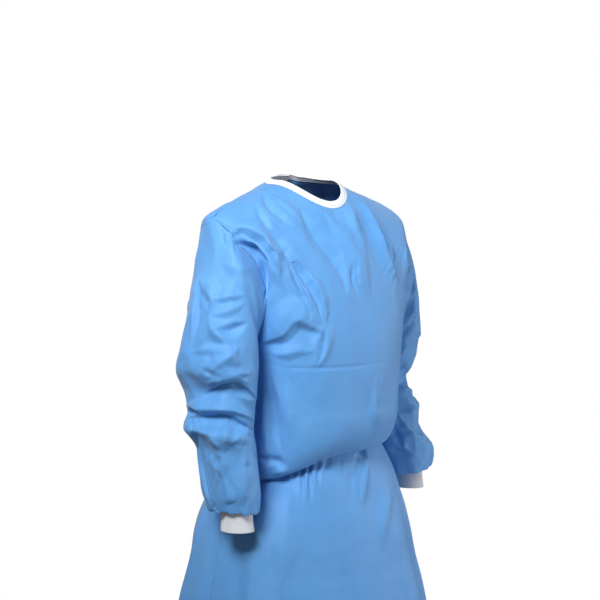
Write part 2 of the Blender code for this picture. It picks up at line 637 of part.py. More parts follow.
def tie_tail(side, finish):
    """One end of the tie, hanging from the knot down the back of the skirt."""
    middle = 180 + side * TAIL_TURN
    rows = panel_drops()
    between = rows[(rows > TAIL_DROPS[0] + 0.001) & (rows < TAIL_DROPS[1])]
    drops = np.concatenate([TAIL_DROPS[:1], between, TAIL_DROPS[1:]])
    spread = side * TAIL_SPREAD * (drops - drops[0]) / (drops[-1] - drops[0])
    part = np.linspace(-0.5, 0.5, TAIL_COLUMNS)
    turn = middle + spread[:, None] + part * TAIL_WIDTH_TURN
    points, normals = body_surface(turn, drops[:, None], lap=top_lift)
    slack = TAIL_SLACK * np.clip((drops - drops[0]) / TAIL_FREE_DROP, 0, 1)
    points = points + (SEAM_GAP + TIE_WALL + slack[:, None, None]) * normals
    return wall("tie_tail_left" if side > 0 else "tie_tail_right", points, normals, TIE_WALL, finish)


def main():
    clear_scene()
    blue = material("gown cloth", GOWN_BLUE, 0.55)
    white = material("neck binding", BINDING_WHITE, 0.6)
    knit = material("cuff knit", KNIT_WHITE, 0.8)
    front_panel(blue)
    neck_binding(white)
    neck_tab(blue)
    waist_tie(blue)
    tie_knot(blue)
    for side in (-1, 1):
        back_panel(side, blue)
        sleeve(side, blue)
        cuff(side, knit)
        tie_tail(side, blue)


main()
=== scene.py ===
# %% [markdown]
# # A disposable surgical gown
# The gown is made of thin, crisp nonwoven cloth: a front, two backs that lap at the centre back,
# two set-in sleeves gathered into white knit cuffs, a white bound neck, and a tie round the waist.
# The frame already holds every cut piece at its true size. This script gives each of them a finer
# cloth surface, its creases, its edges and its finish, and then lights it like the photograph.

import json
import math

import bmesh
import bpy
import numpy as np
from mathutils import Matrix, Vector, noise

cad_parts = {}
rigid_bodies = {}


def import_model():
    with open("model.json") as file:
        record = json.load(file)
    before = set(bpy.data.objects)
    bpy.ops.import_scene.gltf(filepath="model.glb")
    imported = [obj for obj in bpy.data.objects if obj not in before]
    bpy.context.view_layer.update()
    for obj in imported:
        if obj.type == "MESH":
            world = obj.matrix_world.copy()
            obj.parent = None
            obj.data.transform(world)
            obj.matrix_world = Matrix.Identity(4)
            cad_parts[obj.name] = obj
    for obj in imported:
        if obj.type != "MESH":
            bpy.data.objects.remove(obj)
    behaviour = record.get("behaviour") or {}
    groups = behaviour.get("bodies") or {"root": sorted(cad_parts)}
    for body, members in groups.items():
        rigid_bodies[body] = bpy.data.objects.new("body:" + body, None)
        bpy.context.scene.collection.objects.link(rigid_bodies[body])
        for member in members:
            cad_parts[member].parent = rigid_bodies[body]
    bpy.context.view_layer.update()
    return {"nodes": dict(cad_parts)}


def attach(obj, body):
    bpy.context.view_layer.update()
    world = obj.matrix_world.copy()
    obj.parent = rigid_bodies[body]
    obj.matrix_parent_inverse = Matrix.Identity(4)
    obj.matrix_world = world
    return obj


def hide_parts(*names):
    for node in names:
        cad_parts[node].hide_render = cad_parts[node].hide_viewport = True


for left_over in list(bpy.data.objects):
    bpy.data.objects.remove(left_over)
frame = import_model()
nodes = frame["nodes"]

# %% [markdown]
# ## The camera
# The camera comes first, because many creases below are placed where the photograph shows them.
# It stands to the gown's own right, a little above its middle, with a long lens. With
# its axes written down as three directions, any point can be turned into a pixel by hand.

# %% Camera
FRAME_PIXELS = 600
SENSOR = 0.036
LENS = 0.1143
AZIMUTH = -42.0
ELEVATION = 4.1
DISTANCE = 3.2
AIM_RIGHT = -0.007
AIM_HEIGHT = -0.193

azimuth, elevation = math.radians(AZIMUTH), math.radians(ELEVATION)
BACK = np.array([
    math.sin(azimuth) * math.cos(elevation),
    -math.cos(azimuth) * math.cos(elevation),
    math.sin(elevation),
])
RIGHT = np.array([math.cos(azimuth), math.sin(azimuth), 0.0])
UP = np.cross(BACK, RIGHT)
EYE = RIGHT * AIM_RIGHT + np.array([0.0, 0.0, AIM_HEIGHT]) + BACK * DISTANCE


def pixels_of(points):
    """Where points show in the photograph's frame of 600 by 600 pixels."""
    seen = points - EYE
    scale = FRAME_PIXELS * LENS / SENSOR / (-seen @ BACK)
    middle = FRAME_PIXELS / 2
    return np.stack([middle + scale * (seen @ RIGHT), middle - scale * (seen @ UP)], -1)


def placed(name, data):
    """A new object in the scene for a mesh, a light or the camera."""
    made = bpy.data.objects.new(name, data)
    bpy.context.scene.collection.objects.link(made)
    return made


camera_data = bpy.data.cameras.new("camera")
camera_data.sensor_width = SENSOR * 1000
camera_data.lens = LENS * 1000
camera_data.dof.use_dof = False
camera = placed("camera", camera_data)
camera.location = EYE
camera.rotation_euler = Vector(BACK).to_track_quat("Z", "Y").to_euler()
bpy.context.scene.camera = camera
print("camera", [round(v, 3) for v in EYE], "m, lens", camera_data.lens, "mm")

# %% [markdown]
# ## Reading a cut piece
# A cut piece in the frame is a closed wall: an outer skin, an inner skin and a thin rim that
# joins them. Each skin is a regular net of points, but the file stores loose triangles. So the
# doubles are merged, the rim is removed by its short edges, the larger skin is kept, and its net
# is walked row by row. The net gives full control over how fine the new cloth is. The coarse
# folds at the waist are evened out in it, because finer gathers take their place further down.

# %% Read a net of points
MERGE = 0.00002
RIM_MISS = 0.001


def is_rim(face, wall):
    """Whether a face lies on the rim, which alone has edges exactly as long as the wall is thick."""
    return any(abs(edge.calc_length() / wall - 1) < RIM_MISS for edge in face.edges)


def outer_skin(node, wall):
    """The outer skin of a wall, as a mesh of merged triangles."""
    shape = bmesh.new()
    shape.from_mesh(nodes[node].data)
    bmesh.ops.remove_doubles(shape, verts=shape.verts, dist=MERGE)
    rim = [face for face in shape.faces if is_rim(face, wall)]
    bmesh.ops.delete(shape, geom=rim, context="FACES")
    islands = []
    left = set(shape.faces)
    while left:
        island = {left.pop()}
        edge_of_it = list(island)
        while edge_of_it:
            face = edge_of_it.pop()
            near = {other for edge in face.edges for other in edge.link_faces} & left
            left -= near
            island |= near
            edge_of_it += near
        islands.append(island)
    islands.sort(key=lambda island: sum(face.calc_area() for face in island))
    spare = [face for island in islands[:-1] for face in island]
    bmesh.ops.delete(shape, geom=spare, context="FACES")
    return shape


def border_walk(start, second):
    """The vertices along the border from start through second, up to the next corner or round."""
    walk = [start, second]
    while len(walk[-1].link_faces) == 3 and walk[-1] is not start:
        onward = [e.other_vert(walk[-1]) for e in walk[-1].link_edges if e.is_boundary]
        walk.append(onward[0] if onward[0] is not walk[-2] else onward[1])
    return walk


def third_vertex(first, second, above):
    """The vertex that makes a triangle with first and second and isn't one of those above."""
    edge = next(e for e in first.link_edges if e.other_vert(first) is second)
    for face in edge.link_faces:
        for vert in face.verts:
            if vert is not first and vert is not second and vert not in above:
                return vert
    return None


def net_of(node, wall, tube=False):
    """The outer points of a cut piece: rows downwards, columns rightwards as seen from outside."""
    shape = outer_skin(node, wall)
    border = [v for v in shape.verts if v.is_boundary]
    if tube:
        start = max(border, key=lambda v: v.co.z)
        second = next(e.other_vert(start) for e in start.link_edges if e.is_boundary)
        row = border_walk(start, second)[:-1]
    else:
        corners = [v for v in border if len(v.link_faces) == 2]
        start = max(corners, key=lambda v: v.co.z)
        seconds = [e.other_vert(start) for e in start.link_edges if e.is_boundary]
        row = max((border_walk(start, v) for v in seconds), key=lambda walk: walk[-1].co.z)
    rows = [row]
    above = set()
    while True:
        pairs = list(zip(row, row[1:] + row[:1])) if tube else list(zip(row, row[1:]))
        thirds = [third_vertex(a, b, above) for a, b in pairs]
        if thirds[0] is None:
            break
        if tube:
            shifted = thirds[-1:] + thirds[:-1]
            gaps = [sum((a.co - b.co).length for a, b in zip(row, under)) for under in (shifted, thirds)]
            under = shifted if gaps[0] < gaps[1] else thirds
        else:
            under = [third_vertex(row[0], thirds[0], {row[1]})] + thirds
        above = set(row)
        row = under
        rows.append(row)
    points = np.array([[tuple(v.co) for v in line] for line in rows])
    face = rows[0][1].link_faces[0]
    outward = np.array(face.normal)
    across = points[0, 1] - points[0, 0]
    down = points[1, 0] - points[0, 0]
    shape.free()
    return points if np.cross(down, across) @ outward > 0 else points[:, ::-1]


WALL = 0.0018
BINDING_WALL = 0.0024
TIE_WALL = 0.0014
CUT_PIECE_COLUMNS = ("wall", "tube", "nodes")
CUT_PIECES = (
    (WALL, False, ("front_panel", "back_panel_left", "back_panel_right")),
    (WALL, True, ("sleeve_left", "sleeve_right", "cuff_left", "cuff_right")),
    (BINDING_WALL, False, ("neck_binding",)),
    (TIE_WALL, False, ("neck_tab", "waist_tie", "tie_tail_left", "tie_tail_right")),
)
nets = {node: net_of(node, wall, tube) for wall, tube, group in CUT_PIECES for node in group}
print("cut pieces are listed by", CUT_PIECE_COLUMNS)
GATHERED_ROWS = slice(28, 34)
EVENED = {"front_panel": 1.0, "back_panel_left": 0.6, "back_panel_right": 0.6}
for name, share in EVENED.items():
    rows = nets[name][GATHERED_ROWS]
    even = (rows[:, :-2] + 2 * rows[:, 1:-1] + rows[:, 2:]) / 4
    rows[:, 1:-1] += share * (even - rows[:, 1:-1])
for name, net in nets.items():
    print(name, "has a net of", net.shape[0], "rows by", net.shape[1], "columns")

# %% [markdown]
# ## From a coarse net to a fine one
# Smooth curves are drawn down the columns of a net and then across its rows, so the new points
# lie on the same form. The distances along the net give each piece its own flat coordinates in
# metres. Patterns and seams then follow the cloth and not the room.

# %% Fine nets
def unit(vectors):
    """The vectors at length 1."""
    return vectors / np.maximum(np.linalg.norm(vectors, axis=-1, keepdims=True), 1e-9)


def through(knots, values, at):
    """A smooth curve through the values at the knots, read at the places given."""
    step = np.diff(knots).reshape((-1,) + (1,) * (values.ndim - 1))
    slope = np.diff(values, axis=0) / step
    inner = (slope[:-1] * step[1:] + slope[1:] * step[:-1]) / (step[:-1] + step[1:])
    tangent = np.concatenate([slope[:1], inner, slope[-1:]])
    i = np.clip(np.searchsorted(knots, at, side="right") - 1, 0, len(step) - 1)
    s = ((at - knots[i]) / np.diff(knots)[i]).reshape((-1,) + (1,) * (values.ndim - 1))
    start = (2 * s**3 - 3 * s**2 + 1) * values[i] + (s**3 - 2 * s**2 + s) * step[i] * tangent[i]
    end = (3 * s**2 - 2 * s**3) * values[i + 1] + (s**3 - s**2) * step[i] * tangent[i + 1]
    return start + end


def steps_of(points, axis):
    """The lengths of the steps between neighbours, down the rows (0) or across the columns (1)."""
    return np.linalg.norm(np.diff(points, axis=axis), axis=-1)


def lengths(net, axis):
    """Distances along a net from its start, averaged over its other direction."""
    return np.concatenate([[0.0], np.cumsum(steps_of(net, axis).mean(1 - axis))])


def places_on(points):
    """How far each point of a net lies from its left edge and from its top, along the cloth."""
    u = np.pad(np.cumsum(steps_of(points, 1), axis=1), ((0, 0), (1, 0)))
    v = np.pad(np.cumsum(steps_of(points, 0), axis=0), ((1, 0), (0, 0)))
    return u, v


def finer(net, down_at, columns, tube=False):
    """The net's surface at finer places: smooth curves down its columns, then across its rows."""
    rows = through(lengths(net, 0), net, down_at)
    ends = 0
    if tube:
        rows = np.concatenate([rows[:, -2:], rows, rows[:, :3]], axis=1)
        ends = 2
    across = lengths(rows, 1)
    places = np.linspace(across[ends], across[-1 - ends], columns + 1)
    return through(across, rows.swapaxes(0, 1), places).swapaxes(0, 1)


def normals_of(points, tube):
    """Directions out of a net, from its neighbours."""
    if tube:
        wrapped = np.concatenate([points[:, -2:-1], points, points[:, 1:2]], axis=1)
        across = wrapped[:, 2:] - wrapped[:, :-2]
    else:
        across = np.gradient(points, axis=1)
    return unit(np.cross(np.gradient(points, axis=0), across))


class Cloth:
    """A fine net of one cut piece, with the directions out of it and its distances to its edges."""

    def __init__(self, node, down_at, columns, tube=False):
        self.node = node
        self.tube = tube
        self.points = finer(nets[node], down_at, columns, tube)
        self.base = self.points.copy()
        self.normals = normals_of(self.points, tube)
        u, v = places_on(self.points)
        self.left, self.right = u, u[:, -1:] - u
        self.top, self.bottom = v, v[-1:] - v
        self.width, self.length = float(u[:, -1].max()), float(v[-1].max())
        self.area = float((steps_of(self.points, 1)[:-1] * steps_of(self.points, 0)[:, :-1]).sum())

    def seam_distance(self):
        """How far each point lies from the nearest sewn edge."""
        edges = [self.top, self.bottom] if self.tube else [self.top, self.left, self.right]
        return np.minimum.reduce(edges)

    def move_by(self, shift):
        """Moves the points, and keeps the base on which later creases are placed."""
        self.points = self.points + shift.reshape(self.points.shape)


def spaced(*stretches):
    """Places from nothing on, by stretches of (end, step)."""
    places = [0.0]
    for end, step in stretches:
        count = max(1, round((end - places[-1]) / step))
        places += list(np.linspace(places[-1], end, count + 1)[1:])
    return np.array(places)


SIDES = ("left", "right")
SKIRT_START = 0.56
FINE = 0.0031
SKIRT_FINE = 0.0095
BACK_FINE = 0.0045
BACK_SKIRT_FINE = 0.0075
SLEEVE_FINE = 0.0021
FRONT_COLUMNS = 178
BACK_COLUMNS = 84
SLEEVE_COLUMNS = 174


def sleeve_cloth(side):
    """The fine net of one sleeve."""
    down_at = spaced((lengths(nets[f"sleeve_{side}"], 0)[-1], SLEEVE_FINE))
    return Cloth(f"sleeve_{side}", down_at, SLEEVE_COLUMNS, tube=True)


front_length = lengths(nets["front_panel"], 0)[-1]
back_length = lengths(nets["back_panel_left"], 0)[-1]
front_rows = spaced((SKIRT_START, FINE), (front_length, SKIRT_FINE))
back_rows = spaced((SKIRT_START, BACK_FINE), (back_length, BACK_SKIRT_FINE))
front = Cloth("front_panel", front_rows, FRONT_COLUMNS)
backs = {side: Cloth(f"back_panel_{side}", back_rows, BACK_COLUMNS) for side in SIDES}
sleeves = {side: sleeve_cloth(side) for side in SIDES}
for cloth in (front, *backs.values(), *sleeves.values()):
    size = [round(cloth.width, 3), round(cloth.length, 3), round(cloth.area, 3)]
    print(cloth.node, cloth.points.shape[:2], "width, length, area", size)

# %% [markdown]
# ## Listed creases
# Crisp nonwoven cloth does not hang in round folds. It breaks into long soft ridges and troughs
# with one steep side, like stiff paper. Each row of a table is one crease: its height, or depth
# where negative, how far it reaches to the left and right of someone who walks along its line,
# how sharp its crest is, and the line. Lines on the side that the photograph shows are given in
# its pixels and carried onto the cloth. Lines on the hidden sides are given in shares of the
# piece, across and down.

# %% Crease tools
CREASE_STEP = 0.002
TAPER_START = 0.35
TAPER_END = 0.40
TAPER_LEAST = 0.05
FEWEST_STEPS = 6
FEWEST_POINTS = 4
SAME_PLACE = 1e-6
SEAM_HOLD = 0.008
CREST = 1.05
OUT_OF_SIGHT = 1e6
POINTS_PER_PIXEL_PLACE = 8
POINTS_PER_SHARE_PLACE = 10


def smooth_step(x):
    """A soft rise from 0 to 1."""
    x = np.clip(x, 0, 1)
    return x * x * (3 - 2 * x)


def reach_along(line):
    """Distances along a line from its start."""
    return np.concatenate([[0.0], np.cumsum(steps_of(line, 0))])


def dense(line, count):
    """A smooth curve through a short list of places, as many points as asked."""
    line = np.array(line, float)
    if len(line) == 2:
        return line[0] + (line[1] - line[0]) * np.linspace(0, 1, count)[:, None]
    reach = reach_along(line)
    return through(reach, line, np.linspace(0, reach[-1], count))


def shown_at(cloths, pixels):
    """Points and outward directions that show nearest to each pixel, over all the cloths given."""
    flat = np.concatenate([cloth.base.reshape(-1, 3) for cloth in cloths])
    out = np.concatenate([cloth.normals.reshape(-1, 3) for cloth in cloths])
    shown = pixels_of(flat)
    shown[(out * (EYE - flat)).sum(-1) < 0] = OUT_OF_SIGHT
    found = [int(((shown - pixel) ** 2).sum(-1).argmin()) for pixel in pixels]
    return flat[found], out[found]


def smoothed(line, times=3):
    """A line with its small steps evened out and its ends kept."""
    for _ in range(times):
        line = np.concatenate([line[:1], (line[:-2] + 2 * line[1:-1] + line[2:]) / 4, line[-1:]])
    return line


def crease(cloths, height, left, right, sharp, line, out, over_seams=False):
    """Adds one crease along a line in space. Its flanks narrow towards both ends, like a dart."""
    line, out = smoothed(line), smoothed(out)
    reach = reach_along(line)
    keep = np.concatenate([[True], np.diff(reach) > SAME_PLACE])
    line, out, reach = line[keep], out[keep], reach[keep]
    if len(line) < FEWEST_POINTS:
        return
    count = max(FEWEST_STEPS, int(reach[-1] / CREASE_STEP))
    at = np.linspace(0, reach[-1], count)
    line, out = through(reach, line, at), unit(through(reach, out, at))
    aside = unit(np.cross(np.gradient(line, axis=0), out))
    share = np.arange(count) / (count - 1)
    taper = np.clip(np.minimum(share / TAPER_START, (1 - share) / TAPER_END), TAPER_LEAST, 1)
    wide = max(left, right)
    for cloth in cloths:
        flat = cloth.base.reshape(-1, 3)
        near = np.all((flat > line.min(0) - wide) & (flat < line.max(0) + wide), axis=1)
        near = np.flatnonzero(near)
        away = flat[near, None] - line
        distance = np.linalg.norm(away, axis=-1)
        nearest = distance.argmin(-1)
        distance = distance[np.arange(len(near)), nearest]
        on_right = (away[np.arange(len(near)), nearest] * aside[nearest]).sum(-1) > 0
        flank = np.where(on_right, right, left) * taper[nearest]
        base = np.clip(1 - distance / flank, 0, 1)
        shape = (1 - sharp) * smooth_step(base) + sharp * base**CREST
        facing = (cloth.normals.reshape(-1, 3)[near] * out[nearest]).sum(-1) > 0
        lift = height * taper[nearest] * shape * facing
        if not over_seams:
            lift = lift * smooth_step(cloth.seam_distance().ravel()[near] / SEAM_HOLD)
        shift = np.zeros(flat.shape)
        shift[near] = lift[:, None] * out[nearest]
        cloth.move_by(shift)


def creases_by_pixel(cloths, table, over_seams=False):
    """Adds the creases of a table whose lines are in the photograph's pixels."""
    for _, height, left, right, sharp, line in table:
        places, out = shown_at(cloths, dense(line, POINTS_PER_PIXEL_PLACE * len(line)))
        crease(cloths, height, left, right, sharp, places, out, over_seams)


def creases_by_share(cloth, table):
    """Adds the creases of a table whose lines are in shares across and down the piece."""
    most = np.array(cloth.points.shape[:2]) - 1
    for _, height, left, right, sharp, line in table:
        places = dense(line, POINTS_PER_SHARE_PLACE * len(line))
        rows = np.clip(np.round(places[:, 1] * most[0]), 0, most[0]).astype(int)
        columns = np.round(places[:, 0] * most[1]).astype(int)
        columns = columns % most[1] if cloth.tube else np.clip(columns, 0, most[1])
        places, out = cloth.base[rows, columns], cloth.normals[rows, columns]
        crease([cloth], height, left, right, sharp, places, out)


CREASE_COLUMNS = ("name", "height", "left", "right", "sharp", "line")
print("a crease row holds", CREASE_COLUMNS)

# %% [markdown]
# ## The creases of the front
# The cloth is pulled from the neck and the shoulders down towards the chest, and hangs over the
# waist, where it is bunched by the tie beneath. Straight packing creases run across and down it,
# because the gown was folded flat in its packet.

# %% Front creases
FRONT_CREASES = (
    ("neck trough", -0.0060, 0.016, 0.008, 0.8, (
        (262, 191), (266, 203), (275, 213), (288, 224), (302, 233),
    )),
    ("neck ridge", 0.0040, 0.014, 0.010, 0.6, ((270, 194), (284, 204), (298, 217), (308, 230))),
    ("long trough", -0.0115, 0.010, 0.022, 0.85, (
        (254, 200), (261, 215), (269, 229), (280, 242), (290, 254), (299, 267), (307, 279),
        (314, 291), (320, 308), (323, 322), (325, 334),
    )),
    ("centre hollow", -0.0100, 0.026, 0.026, 0.5, (
        (298, 205), (310, 226), (321, 242), (332, 256), (342, 274), (348, 300),
    )),
    ("centre ridge", 0.0075, 0.026, 0.030, 0.4, ((322, 208), (340, 232), (358, 258), (371, 300))),
    ("far neck", 0.0085, 0.016, 0.034, 0.9, ((344, 196), (351, 213), (355, 229), (362, 242), (368, 256))),
    ("far shoulder", 0.0090, 0.012, 0.036, 0.9, (
        (356, 188), (364, 207), (373, 223), (380, 238), (387, 255), (393, 268), (399, 285),
    )),
    ("chest first", -0.0090, 0.006, 0.012, 0.9, (
        (288, 256), (293, 268), (298, 280), (304, 293), (308, 306), (312, 322),
    )),
    ("chest ridge", 0.0080, 0.014, 0.009, 0.9, (
        (306, 268), (313, 280), (319, 292), (324, 306), (327, 324),
    )),
    ("chest end", -0.0060, 0.006, 0.012, 0.9, ((326, 326), (325, 340), (323, 354), (316, 368))),
    ("chest mound", 0.0120, 0.040, 0.017, 0.95, (
        (256, 344), (270, 339), (284, 332), (297, 319), (309, 325), (326, 334),
    )),
    ("chest facet", 0.0040, 0.014, 0.012, 0.8, ((268, 352), (284, 354), (300, 351), (318, 352))),
    ("small chest", -0.0040, 0.005, 0.008, 0.9, ((352, 262), (353, 280), (362, 303))),
    ("small chest ridge", 0.0035, 0.014, 0.006, 0.8, ((357, 258), (359, 278), (368, 300))),
    ("belly trough", -0.0055, 0.016, 0.014, 0.5, ((270, 372), (273, 398), (276, 424), (284, 458))),
    ("belly ridge", 0.0050, 0.012, 0.014, 0.6, ((263, 384), (264, 420), (268, 456))),
    ("belly slant", 0.0035, 0.018, 0.016, 0.5, ((286, 374), (288, 404), (293, 444))),
    ("side facet", 0.0045, 0.020, 0.022, 0.7, ((377, 364), (375, 400), (371, 444))),
    ("packing across", -0.0012, 0.005, 0.005, 1.0, (
        (262, 359), (276, 366), (315, 368), (348, 367), (393, 361),
    )),
    ("packing down", 0.0010, 0.005, 0.005, 1.0, ((376, 362), (375, 400), (374, 440))),
    ("blouse trough", -0.0080, 0.010, 0.008, 0.9, ((246, 456), (262, 459), (280, 462), (294, 469))),
    ("blouse roll", 0.0110, 0.014, 0.012, 0.9, (
        (228, 472), (246, 472), (266, 472), (284, 470), (302, 464),
    )),
    ("pinch", -0.0100, 0.008, 0.010, 0.9, ((376, 438), (366, 448), (358, 458), (356, 474))),
    ("pinch ridge", 0.0070, 0.014, 0.008, 0.8, ((368, 450), (364, 474), (361, 514))),
    ("pinch trough", -0.0040, 0.008, 0.014, 0.6, ((358, 462), (352, 482), (352, 510))),
    ("skirt soft", 0.0060, 0.030, 0.030, 0.1, ((290, 480), (285, 540), (280, 600))),
    ("hip", 0.0050, 0.018, 0.024, 0.6, ((392, 484), (384, 520), (380, 560))),
    ("skirt packing", 0.0016, 0.006, 0.006, 1.0, (
        (262, 555), (296, 554), (328, 552), (354, 542), (402, 529),
    )),
    ("skirt packing down", 0.0014, 0.006, 0.006, 1.0, ((204, 500), (203, 550), (200, 600))),
)
FRONT_GATHERS = (
    ("gather 1", -0.0042, 0.005, 0.006, 0.8, ((301, 460), (303, 480), (302, 500))),
    ("gather 2", 0.0034, 0.005, 0.005, 0.8, ((305, 461), (306, 480), (306, 508))),
    ("gather 3", -0.0042, 0.005, 0.005, 0.8, ((309, 458), (310, 480), (311, 512))),
    ("gather 4", 0.0034, 0.005, 0.005, 0.8, ((313, 459), (314, 476), (315, 496))),
    ("gather 5", -0.0040, 0.005, 0.005, 0.8, ((318, 457), (318, 474), (319, 490))),
    ("gather 6", 0.0030, 0.007, 0.005, 0.8, ((323, 458), (322, 478), (324, 500))),
    ("gather 7", -0.0034, 0.010, 0.006, 0.7, ((329, 456), (325, 470), (322, 482))),
    ("gather 8", -0.0018, 0.006, 0.006, 0.5, ((294, 467), (293, 484), (291, 500))),
    ("gather 9", -0.0018, 0.006, 0.006, 0.5, ((341, 456), (342, 474), (344, 492))),
)
creases_by_pixel([front], FRONT_CREASES)
creases_by_pixel([front], FRONT_GATHERS)
moved = np.linalg.norm(front.points - front.base, axis=-1).max()
print("front creases", len(FRONT_CREASES) + len(FRONT_GATHERS), "largest", round(moved * 1000, 1), "mm")

# %% [markdown]
# ## The creases of the sleeves
# A bent elbow pushes the cloth into a zigzag of flat facets, and a forearm that hangs gives a few
# long straight breaks down to the wrist, where the cloth is gathered into the cuff.

# %% Sleeve creases
RIGHT_CREASES = (
    ("pucker 1", -0.0035, 0.005, 0.005, 0.9, ((227, 230), (226, 240), (228, 252))),
    ("pucker 2", 0.0030, 0.005, 0.005, 0.9, ((231, 232), (232, 244), (233, 256))),
    ("upper facet", 0.0040, 0.024, 0.016, 0.8, ((221, 263), (236, 268), (252, 270))),
    ("back ridge", 0.0050, 0.014, 0.012, 0.8, ((199, 262), (195, 300), (191, 336), (188, 352))),
    ("back trough", -0.0045, 0.010, 0.008, 0.8, ((200, 292), (197, 320), (194, 346))),
    ("zigzag 1", 0.0075, 0.024, 0.010, 0.9, ((199, 278), (205, 289), (211, 300), (208, 314))),
    ("zigzag 2", 0.0070, 0.018, 0.014, 0.9, ((208, 314), (211, 325), (217, 333), (233, 352))),
    ("cross 1", 0.0060, 0.016, 0.009, 0.9, ((211, 301), (226, 298), (247, 294))),
    ("cross 2", 0.0060, 0.016, 0.010, 0.9, ((210, 316), (228, 312), (247, 302))),
    ("cross 3", -0.0080, 0.008, 0.016, 0.9, ((212, 331), (230, 329), (249, 322))),
    ("elbow facet", 0.0130, 0.024, 0.030, 0.95, ((240, 346), (232, 354), (222, 363), (208, 375))),
    ("elbow left", 0.0050, 0.012, 0.010, 0.8, ((190, 352), (210, 350), (233, 352))),
    ("elbow under", 0.0060, 0.012, 0.010, 0.9, ((211, 373), (230, 374), (252, 373))),
    ("elbow notch", -0.0050, 0.006, 0.008, 0.9, ((200, 368), (211, 373), (218, 371))),
    ("arc trough", -0.0120, 0.006, 0.018, 0.9, ((202, 397), (221, 387), (238, 386), (258, 400))),
    ("arc ridge", 0.0050, 0.010, 0.008, 0.8, ((204, 386), (222, 379), (240, 379), (252, 386))),
    ("sag", 0.0095, 0.024, 0.008, 0.9, ((180, 404), (197, 409), (212, 410), (228, 410), (254, 420))),
    ("step trough", -0.0110, 0.005, 0.024, 0.9, (
        (186, 418), (204, 416), (228, 416), (240, 423), (256, 430),
    )),
    ("step left", -0.0050, 0.006, 0.010, 0.9, ((184, 412), (194, 411), (202, 414))),
    ("wedge", -0.0110, 0.005, 0.012, 0.9, ((188, 410), (196, 440), (203, 474), (214, 516))),
    ("wedge ridge", 0.0040, 0.022, 0.005, 0.9, ((198, 420), (204, 448), (210, 478), (216, 502))),
    ("break", 0.0080, 0.016, 0.012, 0.9, ((227, 416), (225, 436), (223, 456))),
    ("break left", 0.0050, 0.014, 0.008, 0.9, ((224, 450), (221, 466), (216, 484))),
    ("break right", 0.0070, 0.014, 0.012, 0.9, ((221, 466), (226, 486), (232, 508))),
    ("facet", 0.0070, 0.016, 0.014, 0.9, ((252, 426), (241, 436), (228, 444))),
    ("facet left", 0.0040, 0.012, 0.012, 0.9, ((206, 433), (214, 441), (223, 451))),
    ("forearm side", 0.0050, 0.012, 0.018, 0.7, ((246, 440), (245, 470), (242, 502))),
    ("hem tuck", -0.0070, 0.007, 0.007, 0.8, ((212, 500), (216, 508), (222, 516))),
    ("hem notch", -0.0045, 0.005, 0.005, 0.9, ((222, 500), (223, 508), (224, 514))),
)
LEFT_CREASES = (
    ("pull", 0.0055, 0.014, 0.010, 0.9, ((394, 254), (403, 276), (414, 296))),
    ("pull below", 0.0050, 0.014, 0.010, 0.9, ((397, 306), (408, 298), (420, 286))),
    ("upper trough", -0.0050, 0.012, 0.012, 0.7, ((396, 282), (405, 272), (412, 262))),
    ("elbow trough", -0.0080, 0.010, 0.016, 0.8, ((395, 338), (406, 330), (419, 318))),
    ("elbow ridge", 0.0055, 0.014, 0.010, 0.8, ((396, 324), (408, 316), (420, 308))),
    ("elbow low", 0.0060, 0.014, 0.012, 0.8, ((396, 362), (402, 350), (414, 338))),
    ("notch", -0.0080, 0.008, 0.010, 0.8, ((393, 388), (402, 384), (410, 375))),
    ("band", 0.0070, 0.014, 0.007, 0.9, ((392, 394), (404, 390), (416, 396))),
    ("band trough", -0.0070, 0.006, 0.012, 0.9, ((390, 409), (404, 408), (417, 406))),
    ("forearm", 0.0065, 0.012, 0.012, 0.9, ((398, 414), (408, 432), (417, 446))),
    ("forearm across", 0.0060, 0.012, 0.012, 0.9, ((384, 438), (402, 438), (428, 437))),
    ("forearm trough", -0.0060, 0.010, 0.012, 0.8, ((392, 420), (396, 432), (404, 452))),
    ("forearm low", -0.0050, 0.010, 0.010, 0.8, ((386, 448), (400, 452), (416, 458))),
)
ARMHOLE_CREASES = (
    ("near fold", 0.0150, 0.034, 0.011, 0.9, (
        (226, 238), (243, 229), (260, 237), (269, 247), (275, 261), (280, 280),
    )),
    ("near hollow", -0.0210, 0.011, 0.026, 0.8, (
        (231, 241), (246, 245), (258, 256), (265, 271), (268, 290),
    )),
    ("near pit", -0.0130, 0.010, 0.014, 0.8, ((256, 260), (263, 274), (266, 290), (265, 308))),
    ("far fold", 0.0060, 0.014, 0.010, 0.8, ((378, 226), (388, 243), (394, 262))),
    ("far hollow", -0.0120, 0.010, 0.010, 0.8, ((376, 228), (384, 237), (392, 249))),
)
creases_by_pixel([sleeves["right"]], RIGHT_CREASES)
creases_by_pixel([sleeves["left"]], LEFT_CREASES)
NEAR_ARMHOLE = slice(0, 3)
FAR_ARMHOLE = slice(3, 5)
creases_by_pixel([front, sleeves["right"]], ARMHOLE_CREASES[NEAR_ARMHOLE], over_seams=True)
creases_by_pixel([front, sleeves["left"]], ARMHOLE_CREASES[FAR_ARMHOLE], over_seams=True)
print("sleeve creases", len(RIGHT_CREASES) + len(LEFT_CREASES), "over the armholes", len(ARMHOLE_CREASES))

# %% [markdown]
# ## The hidden sides
# The back and the far sides have creases of the same kind: drag lines from the shoulders,
# long folds down the skirt, and broken folds behind the elbows. Their lines are in shares of the
# piece, so 0.5 across is its middle and 1 down is its lower edge.

